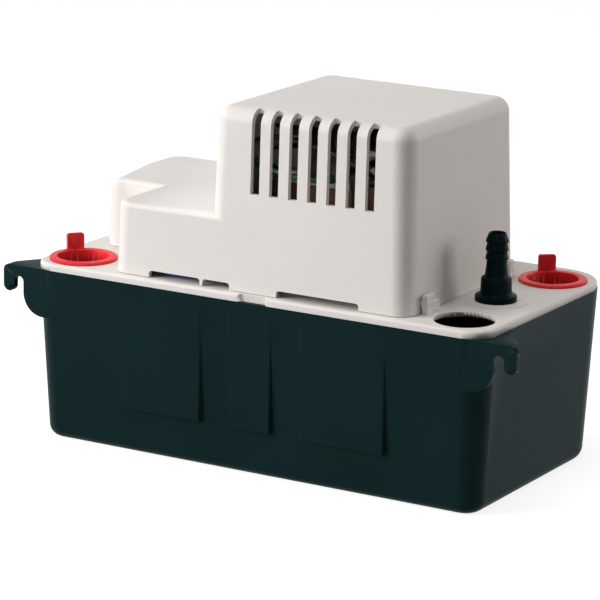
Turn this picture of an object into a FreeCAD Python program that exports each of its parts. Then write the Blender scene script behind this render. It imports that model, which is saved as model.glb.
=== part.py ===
import FreeCAD, Part
import math
import os

# Condensate pump: a moulded tank, a lid that carries the motor, pump and float gear, and a
# vented hood over the motor. Millimetres, +Z up, origin at the middle of the tank's base.
# +X is the end with the two inlets and the hose barb, -Y is the front with the vent slots.

# Tank
HOOK_SPAN = 279.4
TANK_LENGTH = 247.0
TANK_WIDTH = 134.0
TANK_RIM_Z = 84.4
TANK_END_DRAFT = 4.5
TANK_SIDE_DRAFT = 3.5
TANK_WALL = 2.5
TANK_FLOOR = 3.0
TANK_FRONT_CORNER = 12.0
TANK_REAR_CORNER = 24.0
TANK_CORNER_TAPER = 2.0
TANK_FOOT_RADIUS = 6.0
PAD_BOTTOM_Z = 23.0
PAD_INSET = 0.2
PAD_EDGE_RADIUS = 0.8
PAD_CENTRE_X = 0.8
SIDE_PAD_NEAR = 27.6
SIDE_PAD_FAR = 71.8
MIDDLE_PAD_WIDTH = 22.0

# Wall hooks at the two front corners
HOOK_PLATE = 3.0
HOOK_INSET = 0.8
HOOK_ROOT_X = TANK_LENGTH / 2 - 15.5
HOOK_BOTTOM_Z = 60.5
HOOK_FOOT_X = TANK_LENGTH / 2 - 6.5
HOOK_LIP_WIDTH = 6.3
HOOK_LIP_BOTTOM_Z = 71.2
HOOK_SLOT_WIDTH = 5.3
HOOK_SLOT_TOP_Z = 79.2
HOOK_GUSSET_DROP = 10.5
HOOK_TIP_RADIUS = 3.0
HOOK_WEB_REACH = 26.0

# Lid
LID_EDGE_HEIGHT = 3.6
LID_PLATE = 3.0
LID_INSET = 0.3
LID_EDGE_RADIUS = 1.4
LID_RIB_DEPTH = 5.0
LID_RIB_WALL = 1.8
LID_RIB_CLEARANCE = 0.5
LID_STIFFENER_YS = (-37.0, 30.0)
LID_STIFFENER_REACH = 78.0
RIB_WALL = 2.0
RIB_HEIGHT = 3.0
STOP_HEIGHT = 4.2
LID_NOTCH_X = 1.2
LID_NOTCH_WIDTH = 12.6
LID_NOTCH_DEPTH = 2.2
INLET_BORE = 28.6
INLET_LIP = 1.8
INLET_RELIEF = 1.5
INLET_LEFT_X = 18.5 - TANK_LENGTH / 2
INLET_X = TANK_LENGTH / 2 - 19.7
INLET_FRONT_Y = 18.4 - TANK_WIDTH / 2
INLET_REAR_Y = TANK_WIDTH / 2 - 27.0

# Hood
COVER_WALL = 2.5
COVER_SEAT_GAP = 0.3
COVER_RIGHT_X = TANK_LENGTH / 2 - 41.3
COVER_LEFT_X = COVER_RIGHT_X - 109.4
COVER_FRONT_Y = 4.0 - TANK_WIDTH / 2
COVER_REAR_Y = TANK_WIDTH / 2 - 22.0
COVER_TOP_Z = 174.5
COVER_CORNER = 9.0
COVER_CREST = 7.0
COVER_DRAFT_DEG = 1.6
LOW_TOP_Z = 122.5
LOW_CREST = 2.5
LOW_FRONT_LEFT_X = COVER_LEFT_X - 52.3
LOW_REAR_LEFT_X = 10.0 - TANK_LENGTH / 2
LOW_STEP_Y = COVER_FRONT_Y + 43.0
LOW_FACET_WIDTH = 9.0
LOW_FACET_HEIGHT = 10.5
SLOT_COUNT = 7
SLOT_FIRST_X = COVER_LEFT_X + 26.5
SLOT_PITCH = 10.17
SLOT_WIDTH = 4.8
SLOT_BOTTOM_Z = 135.0
SLOT_REACH = 6.5
NOTCH_HEIGHT = 3.2
NOTCH_CORNER = 1.6
LEFT_NOTCH_X0 = COVER_LEFT_X - 30.7
LEFT_NOTCH_X1 = COVER_LEFT_X + 14.0
LEFT_NOTCH_BAR_X = COVER_LEFT_X - 1.6
LEFT_NOTCH_BAR = 1.4
RIGHT_NOTCH_X0 = COVER_LEFT_X + 39.5
RIGHT_NOTCH_X1 = COVER_LEFT_X + 83.5

# Snap hooks on the lid, beside the hood's right wall
LATCH_THICKNESS = 2.8
LATCH_HEIGHT = 9.0
LATCH_FOOT_HEIGHT = 5.6
LATCH_TONGUE = 7.6
LATCH_STANDOFF = 1.0
LATCH_NOSE_DROP = 5.4
LATCH_NOSE_HEIGHT = 2.2
FRONT_LATCH_Y0 = -51.5
FRONT_LATCH_Y1 = -40.0
REAR_LATCH_Y0 = 30.5
REAR_LATCH_Y1 = 34.5

# Inlet plugs
PLUG_FLANGE = 33.0
PLUG_FLANGE_HEIGHT = 1.5
PLUG_CLEARANCE = 0.3
PLUG_WALL = 1.8
PLUG_DEPTH = 9.0
PLUG_TAB_WIDTH = 8.5
PLUG_TAB_THICKNESS = 2.0
PLUG_TAB_HEIGHT = 8.0
PLUG_TAB_CORNER = 1.2
PLUG_TAB_RADIUS = 14.8
LEFT_TAB_DEG = 141.0
RIGHT_TAB_DEG = 129.0

# Discharge barb and check valve
BARB_X = TANK_LENGTH / 2 - 23.8
BARB_Y = -10.6
BARB_FLANGE = 19.6
BARB_FLANGE_HEIGHT = 3.0
BARB_COLLAR = 14.2
BARB_COLLAR_HEIGHT = 8.5
BARB_CREST = 10.7
BARB_ROOT = 9.3
BARB_BORE = 6.0
BARB_COUNT = 3
BARB_PITCH = 4.1
BARB_LAND = 0.8
BARB_NECK_LENGTH = 8.0
BARB_SHANK = 13.0
BARB_SHANK_LENGTH = 11.8
BOSS_RADIUS = 15.0
BOSS_HEIGHT = 0.6
THREAD_CLEARANCE = 0.1
VALVE_BODY = 20.0
VALVE_LENGTH = 23.0
VALVE_CHAMBER = 11.0
VALVE_SEAT = 7.0
BALL_DIAMETER = 9.0
BALL_GAP = 0.3

# Motor
MOTOR_X = COVER_RIGHT_X - 64.2
MOTOR_Y = (COVER_FRONT_Y + COVER_REAR_Y) / 2
SHAFT_DIAMETER = 6.35
STACK_BOTTOM_Z = 112.0
STACK_HEIGHT = 26.0
STACK_HALF_WIDTH = 31.0
STACK_LEFT = 25.0
STACK_RIGHT = 52.0
STACK_WAIST = 5.0
ROTOR_DIAMETER = 29.2
AIR_GAP = 0.4
WINDOW_LEFT = 21.5
WINDOW_RIGHT = 37.0
WINDOW_HALF = 19.0
END_RING = 3.0
SHADING_X = 11.5
SHADING_Y = 16.6
BRACKET_PLATE = 3.0
BRACKET_RISE = 9.0
BRACKET_WIDTH = 18.0
BRACKET_FOOT = 5.6
BRACKET_HUB = 20.0
BEARING_DIAMETER = 14.0
BEARING_LENGTH = 9.0
RUNNING_CLEARANCE = 0.05
MOTOR_SCREW = 4.0
MOTOR_SCREW_X = 14.0
MOTOR_SCREW_Y = 25.5
POST_DIAMETER = 9.0
COIL_WALL = 1.2
COIL_BUILD = 8.0
COIL_RIGHT = 6.8
COIL_CLEARANCE = 0.4
FAN_BLADES = 6
FAN_DIAMETER = 72.0
FAN_HUB = 18.0
FAN_HEIGHT = 9.0
FAN_BLADE = 1.3
FAN_GAP = 1.0

# Pump
FLOOR_GAP = 2.0
STRAINER_PLATE = 2.0
STRAINER_FOOT = 4.0
VOLUTE_WALL = 2.5
VOLUTE_START = 20.0
VOLUTE_GROWTH = 2.2
VOLUTE_HEIGHT = 11.0
VOLUTE_EYE = 14.0
VOLUTE_EAR_RADIUS = 33.0
VOLUTE_EAR = 9.0
NOZZLE_BORE = 8.0
NOZZLE_OUTSIDE = 11.0
NOZZLE_ROOT = 14.0
NOZZLE_REACH = 42.0
IMPELLER_DIAMETER = 36.0
IMPELLER_DISC = 2.0
IMPELLER_VANE_HEIGHT = 6.0
IMPELLER_VANES = 6
IMPELLER_HUB = 12.0
IMPELLER_GAP = 1.0
VANE_WALL = 1.6
COLUMN_DIAMETER = 30.0
COLUMN_WALL = 3.0
COLUMN_FLANGE = 3.0
COLUMN_TOP_SQUARE = 48.0
COLUMN_WINDOW_WIDTH = 14.0
SMALL_SCREW = 3.5
HEAD_HEIGHT = 2.2
TUBE_BORE = 11.2
TUBE_WALL = 1.9
TUBE_LAP = 10.0
VALVE_TAIL = 12.0

# Float gear
FLOAT_PIVOT_X = MOTOR_X - 64.0
FLOAT_Y = MOTOR_Y + 13.0
FLOAT_PIVOT_Z = 71.0
FLOAT_REST_DEG = 10.0
FLOAT_SWING_DEG = 20.0
FLOAT_PIN = 3.0
FLOAT_ARM_LENGTH = 46.0
FLOAT_ARM_WIDTH = 8.0
FLOAT_ARM_HEIGHT = 4.0
FLOAT_LEG = 15.0
FLOAT_LENGTH = 38.0
FLOAT_WIDTH = 56.0
FLOAT_HEIGHT = 24.0
ROD_OFFSET = 16.0
ROD_DIAMETER = 4.0
ROD_CLEARANCE = 0.1
ROD_GAP = 0.3
ROD_BOSS_DEPTH = 5.0
ROD_BAR = 1.6
EAR_THICKNESS = 3.0
EAR_GAP = 0.4

# Switches
SWITCH_LENGTH = 27.8
SWITCH_THICKNESS = 10.3
SWITCH_HEIGHT = 15.9
SWITCH_HOLE = 3.1
SWITCH_HOLE_SPACING = 22.2
SWITCH_BOTTOM_Z = 99.0
SWITCH_PITCH = 11.5
LEVER_PIVOT_X = FLOAT_PIVOT_X + 5.0
LEVER_PIVOT_DROP = 3.5
LEVER_DROOP_DEG = 2.5
LEVER_WIDTH = 4.4
LEVER_THICKNESS = 0.6
LEVER_PIN = 1.1
LEVER_LENGTH = 26.0
BUTTON_ARM = 6.5
BUTTON_WIDTH = 2.6
BUTTON_GAP = 0.2
BUTTON_POCKET = 4.5
STAND_WALL = 2.0
TERMINAL_WIDTH = 4.8
TERMINAL_HEIGHT = 2.4

# Wires
WIRE_DIAMETER = 2.4
SPLICE_X = COVER_LEFT_X + 17.2
SPLICE_Y = COVER_FRONT_Y + 11.0
SPLICE_LENGTH = 16.0
SPLICE_DIAMETER = 5.6
GLAND_X = COVER_LEFT_X - 32.8
GLAND_BORE = 7.4
GLAND_OUTSIDE = 13.0

DECK_Z = TANK_RIM_Z + LID_EDGE_HEIGHT
LID_UNDER_Z = DECK_Z - LID_PLATE
COVER_BASE_Z = DECK_Z + COVER_SEAT_GAP
UP = FreeCAD.Vector(0, 0, 1)


def vec(x, y, z):
    return FreeCAD.Vector(x, y, z)


def block(x0, x1, y0, y1, z0, z1):
    return Part.makeBox(x1 - x0, y1 - y0, z1 - z0, vec(x0, y0, z0))


def post(x, y, z0, z1, diameter):
    return Part.makeCylinder(diameter / 2, z1 - z0, vec(x, y, z0))


def pipe(x, y, z0, z1, outside, inside):
    return post(x, y, z0, z1, outside).cut(post(x, y, z0 - 1, z1 + 1, inside))


def bar_x(x0, x1, y, z, diameter):
    return Part.makeCylinder(diameter / 2, x1 - x0, vec(x0, y, z), vec(1, 0, 0))


def bar_y(x, y0, y1, z, diameter):
    return Part.makeCylinder(diameter / 2, y1 - y0, vec(x, y0, z), vec(0, 1, 0))


def joined(shapes):
    solid = shapes[0].multiFuse(shapes[1:]) if len(shapes) > 1 else shapes[0]
    return solid.removeSplitter()


def group(shapes):
    return Part.makeCompound(shapes)


def rounded_wire(x0, x1, y0, y1, z, front, rear):
    """A rectangle at height z whose front and rear corners have their own radii."""
    diagonal = 1 - math.sqrt(0.5)
    corners = [
        (x1 - front, y0, x1 - diagonal * front, y0 + diagonal * front, x1, y0 + front),
        (x1, y1 - rear, x1 - diagonal * rear, y1 - diagonal * rear, x1 - rear, y1),
        (x0 + rear, y1, x0 + diagonal * rear, y1 - diagonal * rear, x0, y1 - rear),
        (x0, y0 + front, x0 + diagonal * front, y0 + diagonal * front, x0 + front, y0),
    ]
    edges = []
    previous = vec(x0 + front, y0, z)
    for ax, ay, mx, my, bx, by in corners:
        start = vec(ax, ay, z)
        end = vec(bx, by, z)
        edges.append(Part.LineSegment(previous, start).toShape())
        edges.append(Part.Arc(start, vec(mx, my, z), end).toShape())
        previous = end
    return Part.Wire(edges)


def rounded_block(x0, x1, y0, y1, z0, z1, radius):
    return Part.Face(rounded_wire(x0, x1, y0, y1, z0, radius, radius)).extrude(vec(0, 0, z1 - z0))


def outline(start, steps, place):
    """A closed outline: each step is one end point, or a middle and an end point for an arc."""
    edges = []
    here = place(*start)
    for step in steps:
        end = place(*step[-2:])
        if len(step) == 4:
            edges.append(Part.Arc(here, place(*step[:2]), end).toShape())
        else:
            edges.append(Part.LineSegment(here, end).toShape())
        here = end
    if here.distanceToPoint(place(*start)) > 1e-6:
        edges.append(Part.LineSegment(here, place(*start)).toShape())
    return Part.Wire(edges)


def turned(steps, x, y):
    """A solid turned about the vertical line at x, y from radius and height points."""
    wire = outline(steps[0], steps[1:], lambda r, z: vec(x + r, y, z))
    return Part.Face(wire).revolve(vec(x, y, 0), UP, 360)


def edges_where(shape, test):
    return [edge for edge in shape.Edges if test(edge)]


def flat_at(edge, z):
    return all(abs(vertex.Z - z) < 0.01 for vertex in edge.Vertexes)


def rounded_flat_edges(shape, z, radius):
    """Round the edges that lie at height z."""
    edges = edges_where(shape, lambda edge: flat_at(edge, z))
    return shape.makeFillet(radius, edges)


def tank_half(z):
    """Half length, half width and corner taper of the tank's outside at height z."""
    share = 1 - z / TANK_RIM_Z
    half_length = TANK_LENGTH / 2 - share * TANK_END_DRAFT
    half_width = TANK_WIDTH / 2 - share * TANK_SIDE_DRAFT
    return half_length, half_width, share * TANK_CORNER_TAPER


def tank_shell(z0, z1, inset):
    """A solid between two heights whose sides lie inset from the tank's outside."""
    wires = []
    for z in (z0, z1):
        half_length, half_width, taper = tank_half(z)
        dx = half_length - inset
        dy = half_width - inset
        front = TANK_FRONT_CORNER - taper - inset
        rear = TANK_REAR_CORNER - taper - inset
        wires.append(rounded_wire(-dx, dx, -dy, dy, z, front, rear))
    return Part.makeLoft(wires, True, True)


def pad_spans():
    half = MIDDLE_PAD_WIDTH / 2
    spans = [(-SIDE_PAD_FAR, -SIDE_PAD_NEAR), (-half, half), (SIDE_PAD_NEAR, SIDE_PAD_FAR)]
    return [(PAD_CENTRE_X + x0, PAD_CENTRE_X + x1) for x0, x1 in spans]


def pads(inset):
    """Upright pads on the drafted front wall; they die into it near the rim."""
    face_y = -(TANK_WIDTH / 2 - PAD_INSET) + inset
    solids = []
    for x0, x1 in pad_spans():
        depth = TANK_WALL + TANK_SIDE_DRAFT
        pad = block(x0 + inset, x1 - inset, face_y, face_y + depth, PAD_BOTTOM_Z + inset, TANK_RIM_Z - 2)
        front = edges_where(pad, lambda edge: all(abs(v.Y - face_y) < 0.01 for v in edge.Vertexes))
        upright = [edge for edge in front if abs(edge.Vertexes[0].Z - edge.Vertexes[1].Z) > 1]
        solids.append(pad.makeFillet(PAD_EDGE_RADIUS, upright))
    return solids


def wall_hook():
    """The right-hand hook: an upright plate with a slot open at the bottom, and a top web."""
    tip_x = HOOK_SPAN / 2
    lip_x = tip_x - HOOK_LIP_WIDTH
    slot_r = HOOK_SLOT_WIDTH / 2
    gusset_x = lip_x - HOOK_SLOT_WIDTH
    lip_r = HOOK_LIP_WIDTH / 2
    tip_cut = HOOK_TIP_RADIUS * (1 - math.sqrt(0.5))
    steps = [
        (HOOK_FOOT_X, HOOK_BOTTOM_Z),
        (gusset_x - HOOK_GUSSET_DROP / 4, HOOK_BOTTOM_Z + HOOK_GUSSET_DROP * 0.37, gusset_x,
         HOOK_BOTTOM_Z + HOOK_GUSSET_DROP),
        (gusset_x, HOOK_SLOT_TOP_Z - slot_r),
        (gusset_x + slot_r, HOOK_SLOT_TOP_Z, lip_x, HOOK_SLOT_TOP_Z - slot_r),
        (lip_x, HOOK_LIP_BOTTOM_Z + lip_r),
        (lip_x + lip_r, HOOK_LIP_BOTTOM_Z, tip_x, HOOK_LIP_BOTTOM_Z + lip_r),
        (tip_x, TANK_RIM_Z - HOOK_TIP_RADIUS),
        (tip_x - tip_cut, TANK_RIM_Z - tip_cut, tip_x - HOOK_TIP_RADIUS, TANK_RIM_Z),
        (HOOK_ROOT_X, TANK_RIM_Z),
    ]
    front_y = HOOK_INSET - TANK_WIDTH / 2
    wire = outline((HOOK_ROOT_X, HOOK_BOTTOM_Z), steps, lambda x, z: vec(x, front_y, z))
    side_view = Part.Face(wire)
    plate = side_view.extrude(vec(0, HOOK_PLATE, 0))
    end_x = TANK_LENGTH / 2
    web_steps = [
        (tip_x, front_y),
        (tip_x, front_y + HOOK_PLATE),
        (end_x, front_y + HOOK_WEB_REACH),
        (HOOK_ROOT_X, front_y + HOOK_WEB_REACH),
    ]
    web_z = TANK_RIM_Z - HOOK_PLATE
    plan = outline((HOOK_ROOT_X, front_y), web_steps, lambda x, y: vec(x, y, web_z))
    web = Part.Face(plan).extrude(vec(0, 0, HOOK_PLATE))
    web = web.common(side_view.extrude(vec(0, HOOK_WEB_REACH, 0)))
    return joined([plate, web])


def mirrored_x(shape):
    return shape.mirror(vec(0, 0, 0), vec(1, 0, 0))


def tank():
    body = tank_shell(0, TANK_RIM_Z, 0)
    body = rounded_flat_edges(body, 0, TANK_FOOT_RADIUS)
    hook = wall_hook()
    body = joined([body] + pads(0) + [hook, mirrored_x(hook)])
    cavity = tank_shell(TANK_FLOOR, TANK_RIM_Z, TANK_WALL)
    cavity = rounded_flat_edges(cavity, TANK_FLOOR, TANK_FOOT_RADIUS - TANK_WALL)
    mouth = tank_shell(TANK_RIM_Z - 1, TANK_RIM_Z, TANK_WALL)
    mouth.translate(vec(0, 0, 1))
    return body.cut(joined([cavity] + pads(TANK_WALL))).cut(mouth)


def lid_plan(z0, z1, inset):
    half_length = TANK_LENGTH / 2 - inset
    half_width = TANK_WIDTH / 2 - inset
    wire = rounded_wire(-half_length, half_length, -half_width, half_width, z0,
                        TANK_FRONT_CORNER - inset, TANK_REAR_CORNER - inset)
    return Part.Face(wire).extrude(vec(0, 0, z1 - z0))


def inlets():
    return [(INLET_LEFT_X, INLET_FRONT_Y), (INLET_X, INLET_FRONT_Y), (INLET_X, INLET_REAR_Y)]


def post_places():
    places = []
    for side_x in (-1, 1):
        for side_y in (-1, 1):
            places.append((MOTOR_X + side_x * MOTOR_SCREW_X, MOTOR_Y + side_y * MOTOR_SCREW_Y))
    return places


def lid_notch():
    """The notch in the lid's front edge, narrower at its bottom than at its mouth."""
    front_y = -TANK_WIDTH / 2
    half = LID_NOTCH_WIDTH / 2
    steps = [
        (half + LID_NOTCH_DEPTH, front_y),
        (half, front_y + LID_INSET + LID_NOTCH_DEPTH),
        (-half, front_y + LID_INSET + LID_NOTCH_DEPTH),
        (-half - LID_NOTCH_DEPTH, front_y),
        (-half - LID_NOTCH_DEPTH, front_y - 1),
    ]
    plan = outline((half + LID_NOTCH_DEPTH, front_y - 1), steps,
                   lambda x, y: vec(LID_NOTCH_X + x, y, TANK_RIM_Z))
    return Part.Face(plan).extrude(vec(0, 0, LID_EDGE_HEIGHT + 1))


def latch(y0, y1):
    """A snap hook: a low foot, and a narrower tongue whose nose points at the hood."""
    inner_x = COVER_RIGHT_X + LATCH_STANDOFF
    outer_x = inner_x + LATCH_THICKNESS
    nose_x = COVER_RIGHT_X + COVER_SEAT_GAP
    top_z = DECK_Z + LATCH_HEIGHT
    nose_z = top_z - LATCH_NOSE_DROP
    lead_in = (inner_x - nose_x) * 1.2
    steps = [
        (outer_x - 0.4, DECK_Z - 1),
        (outer_x - 0.4, top_z - 0.6),
        (outer_x - 1.0, top_z),
        (inner_x, top_z),
        (inner_x, nose_z + LATCH_NOSE_HEIGHT + lead_in),
        (nose_x, nose_z + LATCH_NOSE_HEIGHT),
        (nose_x, nose_z),
        (inner_x, nose_z),
    ]
    profile = outline((inner_x, DECK_Z - 1), steps, lambda x, z: vec(x, y0, z))
    tongue = Part.Face(profile).extrude(vec(0, min(LATCH_TONGUE, y1 - y0), 0))
    foot = block(inner_x, outer_x, y0, y1, DECK_Z - 1, DECK_Z + LATCH_FOOT_HEIGHT)
    foot = rounded_flat_edges(foot, DECK_Z + LATCH_FOOT_HEIGHT, 0.6)
    return joined([foot, tongue])


def float_ears():
    """Two hanging ears under the lid that hold the float pin."""
    gap = FLOAT_ARM_WIDTH / 2 + EAR_GAP
    ears = []
    for y0 in (FLOAT_Y - gap - EAR_THICKNESS, FLOAT_Y + gap):
        ear = block(FLOAT_PIVOT_X - 5, FLOAT_PIVOT_X + 5, y0, y0 + EAR_THICKNESS,
                    FLOAT_PIVOT_Z, LID_UNDER_Z + 0.5)
        tip = bar_y(FLOAT_PIVOT_X, y0, y0 + EAR_THICKNESS, FLOAT_PIVOT_Z, 10)
        ears.append(joined([ear, tip]))
    return ears


def rod_x():
    return FLOAT_PIVOT_X - ROD_OFFSET


def cover_ribs():
    """Low upstands inside the hood's walls, and a stop along its left end."""
    inner = COVER_WALL + 0.6
    y_front = COVER_FRONT_Y + inner
    y_rear = COVER_REAR_Y - inner
    x_right = COVER_RIGHT_X - inner
    x_left = LOW_REAR_LEFT_X - COVER_SEAT_GAP
    top_z = DECK_Z + RIB_HEIGHT
    front_spans = [(RIGHT_NOTCH_X1 + 2, COVER_RIGHT_X - COVER_CORNER - 6),
                   (COVER_LEFT_X + 18, COVER_LEFT_X + 35)]
    rear_spans = [(GLAND_X - 20, GLAND_X - 8), (COVER_RIGHT_X - 42, COVER_RIGHT_X - 26)]
    ribs = [block(x0, x1, y_front, y_front + RIB_WALL, DECK_Z - 1, top_z) for x0, x1 in front_spans]
    ribs += [block(x0, x1, y_rear - RIB_WALL, y_rear, DECK_Z - 1, top_z) for x0, x1 in rear_spans]
    ribs.append(block(x_right - RIB_WALL, x_right, MOTOR_Y - 11, MOTOR_Y + 13, DECK_Z - 1, top_z))
    stop = block(x_left - RIB_WALL, x_left, LOW_STEP_Y + COVER_CORNER, COVER_REAR_Y - COVER_CORNER,
                 DECK_Z - 1, DECK_Z + STOP_HEIGHT)
    ribs.append(rounded_flat_edges(stop, DECK_Z + STOP_HEIGHT, RIB_WALL * 0.4))
    return ribs


def lid():
    body = lid_plan(TANK_RIM_Z, DECK_Z, LID_INSET)
    body = rounded_flat_edges(body, DECK_Z, LID_EDGE_RADIUS)
    body = body.cut(lid_notch())
    pocket_inset = TANK_WALL + LID_RIB_CLEARANCE
    body = body.cut(lid_plan(TANK_RIM_Z - 1, LID_UNDER_Z, pocket_inset))
    rib_bottom = TANK_RIM_Z - LID_RIB_DEPTH
    rib = tank_shell(rib_bottom, TANK_RIM_Z, pocket_inset)
    rib_cap = lid_plan(TANK_RIM_Z, LID_UNDER_Z, pocket_inset)
    rib = joined([rib, rib_cap])
    rib = rib.cut(tank_shell(rib_bottom, TANK_RIM_Z, pocket_inset + LID_RIB_WALL))
    rib = rib.cut(lid_plan(TANK_RIM_Z, LID_UNDER_Z, pocket_inset + LID_RIB_WALL))
    solids = [body, rib]
    for x, y in post_places():
        solids.append(post(x, y, LID_UNDER_Z, STACK_BOTTOM_Z - BRACKET_PLATE, POST_DIAMETER))
    solids.append(post(BARB_X, BARB_Y, DECK_Z - 1, DECK_Z + BOSS_HEIGHT, 2 * BOSS_RADIUS))
    solids.append(latch(FRONT_LATCH_Y0, FRONT_LATCH_Y1))
    solids.append(latch(REAR_LATCH_Y0, REAR_LATCH_Y1))
    solids += cover_ribs()
    for y in LID_STIFFENER_YS:
        solids.append(block(-LID_STIFFENER_REACH, LID_STIFFENER_REACH, y - 0.9, y + 0.9,
                            LID_UNDER_Z - 4, LID_UNDER_Z + 0.5))
    solids.append(post(rod_x(), FLOAT_Y, LID_UNDER_Z - ROD_BOSS_DEPTH, LID_UNDER_Z + 0.5, ROD_DIAMETER + 4))
    solids += float_ears()
    body = joined(solids)
    holes = [post(x, y, LID_UNDER_Z - 1, DECK_Z + 1, INLET_BORE) for x, y in inlets()]
    relief = INLET_BORE + 2 * INLET_RELIEF
    holes += [post(x, y, rib_bottom - 1, DECK_Z - INLET_LIP, relief) for x, y in inlets()]
    holes.append(post(BARB_X, BARB_Y, LID_UNDER_Z - 1, DECK_Z + 2, BARB_SHANK + 2 * THREAD_CLEARANCE))
    holes.append(post(MOTOR_X, MOTOR_Y, LID_UNDER_Z - 1, DECK_Z + 1, COLUMN_DIAMETER - 2 * COLUMN_WALL))
    for x, y in post_places():
        holes.append(post(x, y, LID_UNDER_Z + 4, STACK_BOTTOM_Z, MOTOR_SCREW))
    for x, y in column_screw_places():
        holes.append(post(x, y, LID_UNDER_Z - 1, DECK_Z + 1, SMALL_SCREW))
    rod_bore = ROD_DIAMETER + 2 * ROD_CLEARANCE
    holes.append(post(rod_x(), FLOAT_Y, LID_UNDER_Z - ROD_BOSS_DEPTH - 1, DECK_Z + 5, rod_bore))
    holes.append(bar_y(FLOAT_PIVOT_X, FLOAT_Y - 20, FLOAT_Y + 20, FLOAT_PIVOT_Z, FLOAT_PIN))
    return body.cut(group(holes))


def column_screw_places():
    reach = COLUMN_TOP_SQUARE / 2 - 5
    return [(MOTOR_X + sx * reach, MOTOR_Y + sy * reach) for sx in (-1, 1) for sy in (-1, 1)]


def drafted_block(x0, x1, y0, y1, z0, z1, corner, crest, inset):
    """A moulded box: sides drafted inwards, upright corners and top edges rounded."""
    slope = math.tan(math.radians(COVER_DRAFT_DEG))
    top_z = z1 - inset
    rings = []
    for z in (z0, top_z):
        draw = slope * (z - COVER_BASE_Z) + inset
        plan = [(x0 + draw, y0 + draw), (x1 - draw, y0 + draw), (x1 - draw, y1 - draw), (x0 + draw, y1 - draw)]
        rings.append([vec(x, y, z) for x, y in plan])
    low, high = rings
    outlines = [low[::-1], high]
    for index in range(4):
        after = (index + 1) % 4
        outlines.append([low[index], low[after], high[after], high[index]])
    faces = [Part.Face(Part.makePolygon(points + points[:1])) for points in outlines]
    body = Part.makeSolid(Part.makeShell(faces))
    upright = edges_where(body, lambda edge: abs(edge.Vertexes[0].Z - edge.Vertexes[1].Z) > 1)
    body = body.makeFillet(corner - inset, upright)
    return rounded_flat_edges(body, top_z, max(crest - inset, 0.8))


def facet_wedge(inset):
    """What a sloping facet takes off the low rear box at its front, left and top corner."""
    low = vec(LOW_REAR_LEFT_X, LOW_STEP_Y, LOW_TOP_Z - LOW_FACET_HEIGHT)
    high = vec(LOW_REAR_LEFT_X + LOW_FACET_WIDTH, LOW_STEP_Y, LOW_TOP_Z)
    far = vec(LOW_REAR_LEFT_X, COVER_REAR_Y - COVER_CORNER, LOW_TOP_Z)
    outward = (far - low).cross(high - low).normalize()
    if outward.z < 0:
        outward = outward * -1
    reach = COVER_REAR_Y - LOW_STEP_Y
    slab = Part.makeBox(2 * reach, 2 * reach, reach, vec(-reach, -reach, 0))
    slab.Placement = FreeCAD.Placement(low - outward * inset, FreeCAD.Rotation(UP, outward))
    return slab


def hood_form(z0, inset):
    """The hood's form at a given inset from its outside: one tall and two low boxes."""
    tall = drafted_block(COVER_LEFT_X, COVER_RIGHT_X, COVER_FRONT_Y, COVER_REAR_Y,
                         z0, COVER_TOP_Z, COVER_CORNER, COVER_CREST, inset)
    middle_x = (COVER_LEFT_X + COVER_RIGHT_X) / 2
    low_front = drafted_block(LOW_FRONT_LEFT_X, middle_x, COVER_FRONT_Y, COVER_REAR_Y,
                              z0, LOW_TOP_Z, COVER_CORNER, LOW_CREST, inset)
    low_rear = drafted_block(LOW_REAR_LEFT_X, middle_x, LOW_STEP_Y, COVER_REAR_Y,
                             z0, LOW_TOP_Z, COVER_CORNER, LOW_CREST, inset)
    low_rear = low_rear.cut(facet_wedge(inset))
    return joined([tall, low_front, low_rear])


def slot_centres():
    return [SLOT_FIRST_X + SLOT_PITCH * index for index in range(SLOT_COUNT)]


def vent_slots():
    """Upright slots that climb the front and rear walls and bend over the crest."""
    cutters = []
    for x in slot_centres():
        x0 = x - SLOT_WIDTH / 2
        x1 = x + SLOT_WIDTH / 2
        slope = math.tan(math.radians(COVER_DRAFT_DEG))
        draw = slope * (COVER_TOP_Z - COVER_BASE_Z)
        front_y = COVER_FRONT_Y + draw + SLOT_REACH
        rear_y = COVER_REAR_Y - draw - SLOT_REACH
        cutters.append(block(x0, x1, COVER_FRONT_Y - 5, front_y, SLOT_BOTTOM_Z, COVER_TOP_Z + 1))
        cutters.append(block(x0, x1, rear_y, COVER_REAR_Y + 5, SLOT_BOTTOM_Z, COVER_TOP_Z + 1))
    return cutters


def bottom_notches():
    """Low notches in the hood's front edge, where leads can pass."""
    y0 = COVER_FRONT_Y - 1
    y1 = COVER_FRONT_Y + COVER_WALL + 1
    top_z = COVER_BASE_Z + NOTCH_HEIGHT
    bar_x0 = LEFT_NOTCH_BAR_X - LEFT_NOTCH_BAR / 2
    bar_x1 = LEFT_NOTCH_BAR_X + LEFT_NOTCH_BAR / 2
    spans = [(LEFT_NOTCH_X0, bar_x0), (bar_x1, LEFT_NOTCH_X1), (RIGHT_NOTCH_X0, RIGHT_NOTCH_X1)]
    cutters = []
    for x0, x1 in spans:
        notch = block(x0, x1, y0, y1, COVER_BASE_Z - 1, top_z)
        top_edges = edges_where(notch, lambda edge: flat_at(edge, top_z))
        across = [edge for edge in top_edges if abs(edge.Vertexes[0].X - edge.Vertexes[1].X) < 1]
        cutters.append(notch.makeFillet(NOTCH_CORNER, across))
    return cutters


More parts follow.
